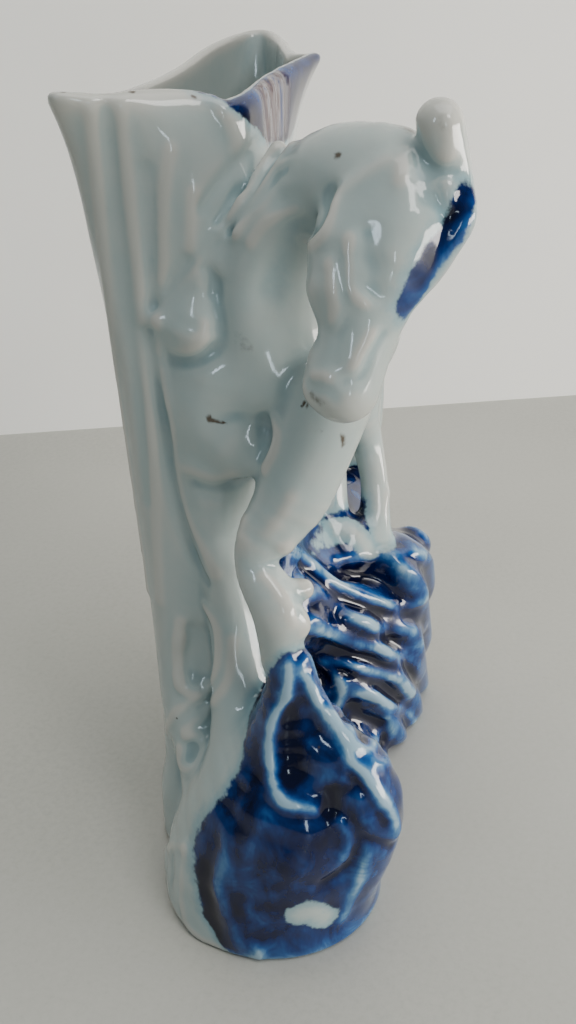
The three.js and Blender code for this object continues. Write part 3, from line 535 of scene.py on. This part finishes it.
# Points of the skin that the photograph shows at the given pixels, found by steps along the sight
def on_skin(field, pixels):
    forward, right, up = camera_axes()
    p = np.array(pixels, dtype=np.float64)
    across = (p[:, :1] - PICTURE_WIDTH / 2) / FOCAL_PIXELS
    above = (PICTURE_HEIGHT / 2 - p[:, 1:]) / FOCAL_PIXELS
    sight = forward + right * across + up * above
    sight /= np.linalg.norm(sight, axis=1)[:, None]
    eye = np.array(CAMERA_PLACE)
    away = np.full((len(p), 1), NEAR_SIGHT)
    least = np.full(len(p), FAR)
    found = eye + sight * away
    for _ in range(SIGHT_STEPS):
        at = eye + sight * away
        gap = look_up(field, at)
        closer = np.abs(gap) < least
        found[closer] = at[closer]
        least = np.minimum(least, np.abs(gap))
        away += SIGHT_CAUTION * np.clip(gap, -LONGEST_STEP, LONGEST_STEP)[:, None]
    return found


# One pass of light smoothing, as a glaze rounds every edge
def soften(field, passes):
    for _ in range(passes):
        for axis in range(3):
            near = np.roll(field, 1, axis)
            far = np.roll(field, -1, axis)
            field = 0.5 * field + 0.25 * (near + far)
    return field


def sample_casting():
    wall, lip = sample_trunk()
    z = ZS[None, None, :]
    field = -blend_min(-wall, lip - z, LIP_ROUNDING * 2)
    for form in BLOCKS:
        add_block(field, form)
    for blend, joints in ROCK.values():
        add_limb(field, blend, joints)
    for points in RIDGES:
        add_limb(field, RIDGE_BLEND, [[*p, RIDGE_RADIUS] for p in points])
    add_flutes(field)
    for blend, joints in HORSE.values():
        add_limb(field, blend, joints)
    add_strands(field)
    add_locks(field)
    seen = [seen_line(field, pixels) for _, _, pixels in RELIEF.values()]
    for (height, width, _), curve in zip(RELIEF.values(), seen):
        raise_line(field, height, width, curve)
    for height, width, points in HIDDEN_RELIEF.values():
        raise_line(field, height, width, smooth_curve(points, 3))
    add_repeated_grooves(field)
    field = soften(field, 1)
    hollow = -blend_min(-(wall + WALL), z - CAVITY_FLOOR + 0 * wall, CAVITY_FLOOR_BLEND)
    field = -blend_min(-field, hollow, LIP_ROUNDING)
    return -blend_min(-field, z + 0 * field, FOOT_ROUNDING)


# Values of a sampled field at free points
def look_up(field, points):
    place = (points - LOW_CORNER) / CELL
    limit = np.array(field.shape) - 1.001
    place = np.clip(place, 0, limit)
    base = place.astype(np.int64)
    f = (place - base).astype(np.float32)
    total = np.zeros(len(points), dtype=np.float32)
    for corner in range(8):
        step = np.array([corner & 1, corner >> 1 & 1, corner >> 2 & 1])
        share = np.prod(np.where(step, f, 1 - f), axis=1)
        at = base + step
        total += share * field[at[:, 0], at[:, 1], at[:, 2]]
    return total


def slope_at(field, points):
    rise = np.zeros((len(points), 3), dtype=np.float32)
    for k in range(3):
        step = np.zeros(3)
        step[k] = CELL
        rise[:, k] = (look_up(field, points + step) - look_up(field, points - step)) / (2 * CELL)
    return rise


# The closed skin of the sampled form, thinned to the wanted number of triangles
def skin(field):
    grid = openvdb.FloatGrid(FAR)
    grid.copyFromArray(field)
    points, _, quads = grid.convertToPolygons(isovalue=0.0, adaptivity=0.0)
    mesh = bpy.data.meshes.new("casting_fine")
    mesh.vertices.add(len(points))
    mesh.vertices.foreach_set("co", (LOW_CORNER + points * CELL).astype(np.float32).ravel())
    corners = quads.astype(np.int32).ravel()
    mesh.loops.add(len(corners))
    mesh.loops.foreach_set("vertex_index", corners)
    mesh.polygons.add(len(quads))
    mesh.polygons.foreach_set("loop_start", np.arange(0, len(corners), 4, dtype=np.int32))
    mesh.update(calc_edges=True)
    fine = bpy.data.objects.new("casting_fine", mesh)
    bpy.context.scene.collection.objects.link(fine)
    thin = fine.modifiers.new("thin", "DECIMATE")
    thin.ratio = min(1.0, TRIANGLES / (2 * len(quads)))
    thin.use_collapse_triangulate = True
    graph = bpy.context.evaluated_depsgraph_get()
    result = bpy.data.meshes.new_from_object(fine.evaluated_get(graph))
    bpy.data.objects.remove(fine)
    result.name = "horse_bud_vase_glazed"
    return result


def build_casting():
    field = sample_casting()
    mesh = skin(field)
    count = len(mesh.vertices)
    points = np.empty(count * 3, dtype=np.float32)
    mesh.vertices.foreach_get("co", points)
    points = points.reshape(-1, 3).astype(np.float64)
    for _ in range(2):
        rise = slope_at(field, points)
        length = np.maximum((rise * rise).sum(1), 0.05)
        points -= rise * (look_up(field, points) / length)[:, None]
    points[:, 2] = np.maximum(points[:, 2], 0)
    smooth = soften(np.clip(field, -4, 4), 1)
    normals = slope_at(smooth, points)
    normals /= np.maximum(np.linalg.norm(normals, axis=1), 1e-6)[:, None]
    return field, mesh, points, normals


# Paint areas, in the forms' own frame. On the near rock the cobalt lies on the display side of a
# line, given as height and y
PAINT_LINE = np.array([
    [-2, 8.2], [0.2, 8.6], [2.7, 11.3], [6.6, 14.2], [12.8, 15.9], [17.9, 16.6], [23.5, 15.6],
    [29.7, 11.4], [34.9, 8.5], [42.6, 8.6], [54.1, 3.9], [58.9, 0.4],
])
ROCK_TOP = 57.0
FAR_ROCK_EDGE = 9.0
FAR_ROCK_TOP = 53.5
FORELOCK = [[466, 199], [458, 220], [447, 238], [433, 256], [422, 274], [415, 290], [409, 303]]
FORELOCK_HALF = 2.2
CORNER_LINE = np.array([
    [-46, 139.4], [-44.5, 137.1], [-41.9, 134.6], [-36, 131.6], [-30, 129.6], [-21, 129.0],
    [-12, 131.5], [-5, 136.5], [1, 141.5],
])
CORNER_BACK = 22.0
BLUE_WASH = {"middle": [-18, 7, 64], "size": [22, 6, 15]}

# Places left white within the cobalt: half width in mm and the line, by pixels of the photograph
BARE_LINES = [
    (2.5, [[300, 915], [313, 911], [325, 918]]),
    (2.6, [[308, 541], [330, 533], [352, 530], [368, 546]]),
    (3.4, [[372, 440], [379, 480], [384, 510], [384, 536]]),
]

# Pale strokes, and dark pools (below zero), in the cobalt: strength, half width in mm and the line. The pale
# strokes along the ridges, the bulge's edge and the scroll are partly painted highlights; the dark pools in the
# grooves and hollows are partly painted shade
STROKES_AND_PAINTED_LIGHT = [
    (0.62, 0.8, [[288, 666], [287, 696], [272, 721], [269, 751], [273, 783], [283, 802], [298, 807], [314, 809]]),
    (0.31, 1.0, [[268, 816], [257, 834], [250, 857], [245, 882]]),
    (0.34, 1.0, [[222, 834], [225, 861], [216, 884], [227, 910], [236, 940], [245, 952]]),
    (0.28, 0.9, [[248, 907], [252, 935], [257, 952]]),
    (0.25, 1.0, [[259, 896], [275, 894], [291, 889]]),
    (0.56, 0.9, [[303, 673], [319, 701], [340, 728], [351, 760], [365, 774], [388, 804], [397, 825]]),
    (0.28, 0.8, [[294, 737], [304, 741], [314, 747]]),
    (0.37, 1.6, [[310, 774], [328, 774]]),
    (0.5, 0.8, [[351, 795], [346, 816], [358, 834], [351, 866], [323, 885]]),
    (0.31, 0.9, [[365, 848], [358, 884], [342, 919]]),
    (0.31, 1.1, [[383, 878], [362, 903], [335, 928]]),
    (0.43, 1.2, [[323, 944], [351, 928], [381, 910]]),
    (-0.6, 1.6, [[291, 712], [292, 745], [294, 775]]),
    (-0.6, 1.6, [[333, 795], [333, 808]]),
    (-0.6, 3.2, [[316, 842], [300, 862], [284, 876]]),
    (-0.5, 1.3, [[257, 742], [254, 774], [251, 800], [243, 824], [237, 852]]),
    (-0.6, 1.6, [[204, 862], [206, 890], [210, 915], [216, 942]]),
    (-0.5, 1.2, [[238, 896], [240, 925]]),
    (-0.5, 0.9, [[256, 909], [286, 905]]),
    (-0.5, 1.1, [[262, 938], [284, 930]]),
    (0.31, 1.0, [[286, 546], [310, 562], [338, 585]]),
    (0.37, 1.0, [[305, 627], [325, 633], [351, 643], [380, 650], [412, 660]]),
    (0.37, 0.9, [[326, 659], [362, 668], [397, 680], [411, 692]]),
    (0.43, 0.8, [[328, 664], [342, 689], [336, 709]]),
    (0.37, 0.9, [[358, 694], [392, 705], [415, 719], [415, 742], [385, 760]]),
    (0.43, 0.8, [[349, 733], [356, 746], [374, 746], [376, 733]]),
    (-0.5, 1.0, [[335, 639], [365, 651], [395, 662]]),
    (-0.5, 1.0, [[344, 671], [370, 683], [397, 701]]),
]
CORNER_POOL = 0.8

# Brown stains and firing marks, and a soft patch of painted shade on the muzzle: strength, half width in mm and
# the line
STAINS_AND_SHADE = [
    (0.5, 2.0, [[405, 126], [414, 132]]),
    (0.95, 0.5, [[336, 155], [339, 156]]),
    (0.9, 0.35, [[208, 420], [216, 421], [225, 423]]),
    (0.8, 0.5, [[342, 436], [344, 444]]),
    # painted shade on the muzzle
    (0.45, 1.0, [[312, 396], [320, 402]]),
    (0.8, 0.45, [[304, 404], [306, 404]]),
    (0.8, 0.45, [[318, 431], [320, 432]]),
    (0.35, 1.8, [[240, 338], [246, 346]]),
    (0.3, 1.8, [[440, 120], [446, 132]]),
    (0.8, 0.4, [[130, 92], [134, 92]]),
    (0.8, 0.4, [[192, 96], [195, 97]]),
    (0.8, 0.4, [[62, 92], [64, 92]]),
]


def soft_ball(points, middle, size):
    q = (points - np.array(middle)) / np.array(size)
    return 1 - np.sqrt((q * q).sum(1))


def seen_line(field, pixels):
    return on_skin(field, smooth_curve(pixels, 3))


def points_to_line(points, line):
    best = np.full(len(points), 1e9)
    for a, b in zip(line[:-1], line[1:]):
        a, b = np.array(a, dtype=np.float64), np.array(b, dtype=np.float64)
        run = b - a
        t = np.clip(((points - a) @ run) / (run @ run), 0, 1)
        best = np.minimum(best, np.linalg.norm(points - a - t[:, None] * run, axis=1))
    return best


# Signed distance in mm to the edge of the cobalt paint, above zero where it is painted
def cobalt_depth(field, points, normals):
    x, y, z = points.T
    line_y = np.interp(z, PAINT_LINE[:, 0], PAINT_LINE[:, 1])
    near_rock = np.minimum(np.minimum(line_y - y, ROCK_TOP - z), -45.5 - x)
    far_rock = np.minimum(np.minimum(FAR_ROCK_EDGE - y, FAR_ROCK_TOP - z), x + 47)
    depth = np.maximum(near_rock, far_rock)
    for half, pixels in BARE_LINES:
        depth = np.minimum(depth, points_to_line(points, seen_line(field, pixels)) - half)
    wash = soft_ball(points, BLUE_WASH["middle"], BLUE_WASH["size"]) * 4
    wash = np.where(normals[:, 1] < -0.5, wash, -4)
    depth = np.maximum(depth, np.where(y > 4.5, wash, -4))
    depth = np.maximum(depth, FORELOCK_HALF - points_to_line(points, seen_line(field, FORELOCK)))
    corner = z - np.interp(x, CORNER_LINE[:, 0], CORNER_LINE[:, 1])
    corner = np.minimum(corner, np.minimum(np.minimum(1.5 - x, x + 44.5), CORNER_BACK - y))
    corner = np.minimum(corner, (normals[:, 1] * -1 - 0.05) * 6)
    return np.maximum(depth, np.where(z > 126, corner, -9))


# Stripes of mauve brown in the folded corner of the rim
def mauve_share(points, normals):
    x, y, z = points.T
    inside = np.minimum(np.minimum(x + 37.5, -22.0 - x) / 2.5, (z - 130.2) / 1.5)
    return np.clip(inside, 0, 1) * (normals[:, 1] < -0.2)


# Pale strokes and painted highlights above zero, dark pools and painted shade below
def stroke_and_painted_light_share(field, points):
    total = np.zeros(len(points))
    for strength, half, pixels in STROKES_AND_PAINTED_LIGHT:
        away = points_to_line(points, seen_line(field, pixels)) / half
        total += strength * np.exp(-away * away)
    corner = np.clip((points[:, 2] - 126) / 2, 0, 1) * CORNER_POOL
    return total - corner


def stain_and_shade_share(field, points):
    total = np.zeros(len(points))
    for strength, half, pixels in STAINS_AND_SHADE:
        away = points_to_line(points, seen_line(field, pixels)) / half
        total = np.maximum(total, strength * np.exp(-away * away))
    return total


# How far the skin bulges, above zero, or dips, below zero, at one breadth set by the passes of smoothing
def bulge(field, points, passes):
    soft = soften(np.clip(field, -3, 3), passes)
    return look_up(soft, points)


def set_attribute(mesh, name, values):
    attribute = mesh.attributes.new(name, "FLOAT", "POINT")
    attribute.data.foreach_set("value", values.astype(np.float32))


def finish_casting(field, mesh, points, normals):
    set_attribute(mesh, "cobalt", cobalt_depth(field, points, normals))
    set_attribute(mesh, "stroke_and_painted_light", stroke_and_painted_light_share(field, points))
    set_attribute(mesh, "mauve", mauve_share(points, normals))
    set_attribute(mesh, "stain_and_shade", stain_and_shade_share(field, points))
    set_attribute(mesh, "bulge", bulge(field, points, 10))
    low, high = (np.array(c) for c in CAD_BOX)
    placed = np.clip((points - PLAN_MIDDLE) * MM, low, high)
    mesh.vertices.foreach_set("co", placed.astype(np.float32).ravel())
    mesh.update()
    mesh.polygons.foreach_set("use_smooth", np.ones(len(mesh.polygons), dtype=bool))
    mesh.normals_split_custom_set_from_vertices(normals.astype(np.float32).tolist())
    piece = bpy.data.objects.new("horse_bud_vase_glazed", mesh)
    bpy.context.scene.collection.objects.link(piece)
    return piece


# Small helpers for node materials
class Nodes:
    def __init__(self, name):
        self.material = bpy.data.materials.new(name)
        self.material.use_nodes = True
        self.tree = self.material.node_tree
        self.shader = self.tree.nodes["Principled BSDF"]

    def new(self, kind, **settings):
        node = self.tree.nodes.new(kind)
        for key, value in settings.items():
            setattr(node, key, value)
        return node

    def put(self, socket, value):
        if isinstance(value, bpy.types.NodeSocket):
            self.tree.links.new(value, socket)
        else:
            socket.default_value = value

    def place(self, stretch=(1, 1, 1), turn=(0, 0, 0)):
        source = self.new("ShaderNodeTexCoord").outputs["Object"]
        mapping = self.new("ShaderNodeMapping")
        self.put(mapping.inputs["Vector"], source)
        mapping.inputs["Scale"].default_value = stretch
        mapping.inputs["Rotation"].default_value = turn
        return mapping.outputs["Vector"]

    def noise(self, scale, detail=4.0, rough=0.55, stretch=(1, 1, 1), turn=(0, 0, 0), swirl=0.0):
        node = self.new("ShaderNodeTexNoise")
        self.put(node.inputs["Vector"], self.place(stretch, turn))
        node.inputs["Scale"].default_value = scale
        node.inputs["Detail"].default_value = detail
        node.inputs["Roughness"].default_value = rough
        node.inputs["Distortion"].default_value = swirl
        return node.outputs["Fac"]

    def attribute(self, name):
        return self.new("ShaderNodeAttribute", attribute_name=name).outputs["Fac"]

    def math(self, operation, a, b=0.0, c=0.0):
        node = self.new("ShaderNodeMath", operation=operation)
        for socket, value in zip(node.inputs, (a, b, c)):
            self.put(socket, value)
        return node.outputs[0]

    def span(self, value, low, high, out_low=0.0, out_high=1.0):
        node = self.new("ShaderNodeMapRange", interpolation_type="SMOOTHSTEP")
        self.put(node.inputs["Value"], value)
        for name, number in (("From Min", low), ("From Max", high), ("To Min", out_low), ("To Max", out_high)):
            node.inputs[name].default_value = number
        return node.outputs["Result"]

    def mix(self, share, a, b):
        node = self.new("ShaderNodeMix", data_type="RGBA")
        self.put(node.inputs["Factor"], share)
        self.put(node.inputs[6], a)
        self.put(node.inputs[7], b)
        return node.outputs[2]

    def ramp(self, value, stops):
        node = self.new("ShaderNodeValToRGB")
        self.put(node.inputs["Fac"], value)
        band = node.color_ramp.elements
        while len(band) < len(stops):
            band.new(0.5)
        for element, (place, colour) in zip(band, stops):
            element.position = place
            element.color = (*colour, 1)
        return node.outputs["Color"]

    def bump(self, height, distance, strength):
        node = self.new("ShaderNodeBump")
        self.put(node.inputs["Height"], height)
        node.inputs["Distance"].default_value = distance
        node.inputs["Strength"].default_value = strength
        return node.outputs["Normal"]


# The white glaze is painted dim and grey-green, well below the colour of white porcelain: painted shade and a
# painted cool reflection over the whole casting. The pooled colour is darker, for painted shade in dips. The thin
# colour is warmer and lighter, for thin glaze and painted light on bulges.
SHADED_WHITE_GLAZE = (0.345, 0.41, 0.40, 1)
POOLED_AND_SHADED_WHITE = (0.235, 0.32, 0.33, 1)
THIN_AND_LIT_WHITE = (0.47, 0.465, 0.425, 1)
WHITE_TEAL = (0.12, 0.27, 0.33, 1)
COBALT_STOPS = [
    (0.0, (0.24, 0.36, 0.45)), (0.16, (0.07, 0.18, 0.32)), (0.36, (0.010, 0.068, 0.22)),
    (0.56, (0.002, 0.022, 0.115)), (0.76, (0.001, 0.006, 0.046)), (1.0, (0.001, 0.0015, 0.015)),
]


# White glaze with painted light and shade: bluish and darker in dips, where the glaze pools and shade is painted,
# and warmer and lighter on bulges, where the glaze is thin over an edge and light is painted
def white_colour(n):
    cloud = n.noise(45, 3)
    patch = n.noise(160, 5, 0.6)
    bulge_value = n.math("ADD", n.attribute("bulge"), n.math("MULTIPLY", n.math("SUBTRACT", cloud, 0.5), 0.12))
    # Darker in dips for glaze pooling and painted shade; lighter and warmer on bulges for thin glaze and painted
    # light
    pooled_and_shaded = n.span(bulge_value, 0.02, -0.16)
    thin = n.span(bulge_value, 0.08, 0.34)
    colour = n.mix(pooled_and_shaded, SHADED_WHITE_GLAZE, POOLED_AND_SHADED_WHITE)
    colour = n.mix(thin, colour, THIN_AND_LIT_WHITE)
    return n.mix(n.span(patch, 0.3, 0.75, 0.0, 0.25), colour, THIN_AND_LIT_WHITE)


def cobalt_colour(n):
    cloud = n.noise(150, 3, 0.55, swirl=0.9)
    streak = n.noise(300, 4, 0.6, stretch=(1, 1, 0.4), turn=(0.35, 0.1, 0), swirl=0.7)
    # The cobalt is painted deeper in dips and paler on bulges: pooled cobalt together with painted shade in the
    # grooves and painted highlights on the ridges
    depth = n.math("MULTIPLY_ADD", n.attribute("bulge"), -1.15, 0.68)
    depth = n.math("ADD", depth, n.math("MULTIPLY", n.math("SUBTRACT", cloud, 0.5), 1.0))
    depth = n.math("ADD", depth, n.math("MULTIPLY", n.math("SUBTRACT", streak, 0.5), 0.5))
    # The strokes add painted highlights on the ridges and painted shade in the grooves and hollows
    depth = n.math("SUBTRACT", depth, n.math("MULTIPLY", n.attribute("stroke_and_painted_light"), 0.5))
    return n.ramp(depth, COBALT_STOPS)


def mauve_colour(n):
    stripes = n.noise(420, 3, 0.6, stretch=(1.5, 1.5, 0.12))
    return n.ramp(stripes, [(0.32, (0.004, 0.012, 0.06)), (0.46, (0.085, 0.055, 0.06)),
                            (0.56, (0.19, 0.18, 0.20)), (0.68, (0.012, 0.03, 0.11))])


# Tiny dark specks that the firing left in the glaze
def specks(n):
    cells = n.new("ShaderNodeTexVoronoi", feature="F1")
    n.put(cells.inputs["Vector"], n.place())
    cells.inputs["Scale"].default_value = 210
    dot = n.span(cells.outputs["Distance"], 0.075, 0.045)
    split = n.new("ShaderNodeSeparateColor")
    n.put(split.inputs["Color"], cells.outputs["Color"])
    chosen = n.math("GREATER_THAN", split.outputs["Red"], 0.88)
    return n.math("MULTIPLY", dot, chosen)


def glaze_material():
    n = Nodes("painted_glaze")
    wander = n.math("MULTIPLY", n.math("SUBTRACT", n.noise(210, 5, 0.6), 0.5), 3.6)
    ragged = n.math("MULTIPLY", n.math("SUBTRACT", n.noise(800, 4, 0.6), 0.5), 1.2)
    edge = n.math("ADD", n.attribute("cobalt"), n.math("ADD", wander, ragged))
    painted = n.span(edge, -0.25, 0.55)
    fringe = n.span(edge, -2.4, 0.3, 0.0, 0.6)
    colour = n.mix(fringe, white_colour(n), WHITE_TEAL)
    colour = n.mix(painted, colour, cobalt_colour(n))
    colour = n.mix(n.attribute("mauve"), colour, mauve_colour(n))
    # Brown stains and firing marks, with painted shade on the muzzle
    brown = n.span(n.math("ADD", n.attribute("stain_and_shade"), n.math("MULTIPLY", n.math("SUBTRACT", n.noise(900, 4), 0.5), 0.5)), 0.2, 0.7)
    colour = n.mix(brown, colour, (0.075, 0.058, 0.042, 1))
    colour = n.mix(n.math("MULTIPLY", specks(n), 0.8), colour, (0.05, 0.04, 0.035, 1))
    shader = n.shader
    n.put(shader.inputs["Base Color"], colour)
    n.put(shader.inputs["Roughness"], n.span(n.noise(320, 4), 0.3, 0.7, 0.06, 0.11))
    shader.inputs["IOR"].default_value = 1.52
    ripple = n.noise(190, 3)
    n.put(shader.inputs["Normal"], n.bump(ripple, 0.0006, 0.12))
    return n.material


def table_material():
    n = Nodes("pale_table")
    grain = n.noise(700, 4, 0.7)
    cloud = n.noise(9, 3)
    colour = n.ramp(n.math("ADD", n.math("MULTIPLY", grain, 0.5), n.math("MULTIPLY", cloud, 0.5)),
                    [(0.3, (0.34, 0.337, 0.305)), (0.5, (0.40, 0.397, 0.36)), (0.7, (0.43, 0.427, 0.39))])
    n.put(n.shader.inputs["Base Color"], colour)
    n.shader.inputs["Roughness"].default_value = 0.45
    return n.material


def wall_material():
    n = Nodes("pale_wall")
    colour = n.ramp(n.noise(14, 3), [(0.3, (0.80, 0.79, 0.76)), (0.7, (0.83, 0.82, 0.79))])
    n.put(n.shader.inputs["Base Color"], colour)
    n.shader.inputs["Roughness"].default_value = 0.8
    return n.material


# Corners of a flat sheet given as points in metres
def flat_sheet(name, corners, material):
    mesh = bpy.data.meshes.new(name)
    mesh.from_pydata([tuple(c) for c in corners], [], [(0, 1, 2, 3)])
    mesh.materials.append(material)
    sheet = bpy.data.objects.new(name, mesh)
    bpy.context.scene.collection.objects.link(sheet)
    return sheet


def to_scene(point):
    return Vector((np.array(point, dtype=np.float64) - PLAN_MIDDLE) * MM)


# The table, and a pale wall where the photograph shows the table's far edge
def make_stage():
    far = 3.0
    near_end = to_scene((137.5, 149.0, 0))
    far_end = to_scene((222.0, -45.3, 0))
    run = (far_end - near_end).normalized()
    back = near_end - run * far
    front = far_end + run * far
    up = Vector((0, 0, far))
    towards = Vector((-far, 0, 0))
    flat_sheet("table", [front, back, back + towards, front + towards], table_material())
    flat_sheet("wall", [back, front, front + up, back + up], wall_material())


def make_camera():
    data = bpy.data.cameras.new("photograph")
    data.sensor_fit = "AUTO"
    data.sensor_width = SENSOR
    data.lens = SENSOR * FOCAL_PIXELS / PICTURE_HEIGHT
    data.clip_start = 0.01
    camera = bpy.data.objects.new("photograph", data)
    forward = Vector(camera_axes()[0])
    camera.rotation_euler = forward.to_track_quat("-Z", "Y").to_euler()
    camera.location = to_scene(CAMERA_PLACE)
    bpy.context.scene.collection.objects.link(camera)
    bpy.context.scene.camera = camera


# A soft panel of light that faces the vase
def panel(name, place, size, power, colour, aim=(0, 0, 0.07)):
    data = bpy.data.lights.new(name, "AREA")
    data.shape = "RECTANGLE"
    data.size, data.size_y = size
    data.energy = power
    data.color = colour
    light = bpy.data.objects.new(name, data)
    light.location = place
    light.rotation_euler = (Vector(aim) - Vector(place)).to_track_quat("-Z", "Y").to_euler()
    bpy.context.scene.collection.objects.link(light)


def make_light():
    panel("overhead", (0.05, -0.15, 1.1), (1.2, 1.2), 12.5, (1.0, 0.985, 0.955))
    panel("low_right", (0.0, -0.75, 0.05), (0.7, 0.25), 11.0, (1.0, 0.95, 0.88), (0, 0, 0.08))
    panel("on_wall", (-0.45, -0.55, 0.75), (0.3, 0.3), 3.2, (1.0, 0.985, 0.955), (0.3, -0.15, 0.10))
    panel("window_left", (-0.85, 0.42, 0.42), (0.07, 0.30), 0.9, (0.70, 0.86, 1.0))
    panel("window_right", (-0.80, -0.30, 0.20), (0.05, 0.22), 0.4, (0.75, 0.9, 1.0))
    world = bpy.data.worlds.new("room")
    world.use_nodes = True
    ground = world.node_tree.nodes["Background"]
    ground.inputs["Color"].default_value = (0.62, 0.80, 0.86, 1)
    ground.inputs["Strength"].default_value = 0.16
    bpy.context.scene.world = world


make_camera()
make_light()
make_stage()
field, mesh, points, normals = build_casting()
casting = finish_casting(field, mesh, points, normals)
casting.data.materials.append(glaze_material())
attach(casting, "root")
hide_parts("horse_bud_vase")
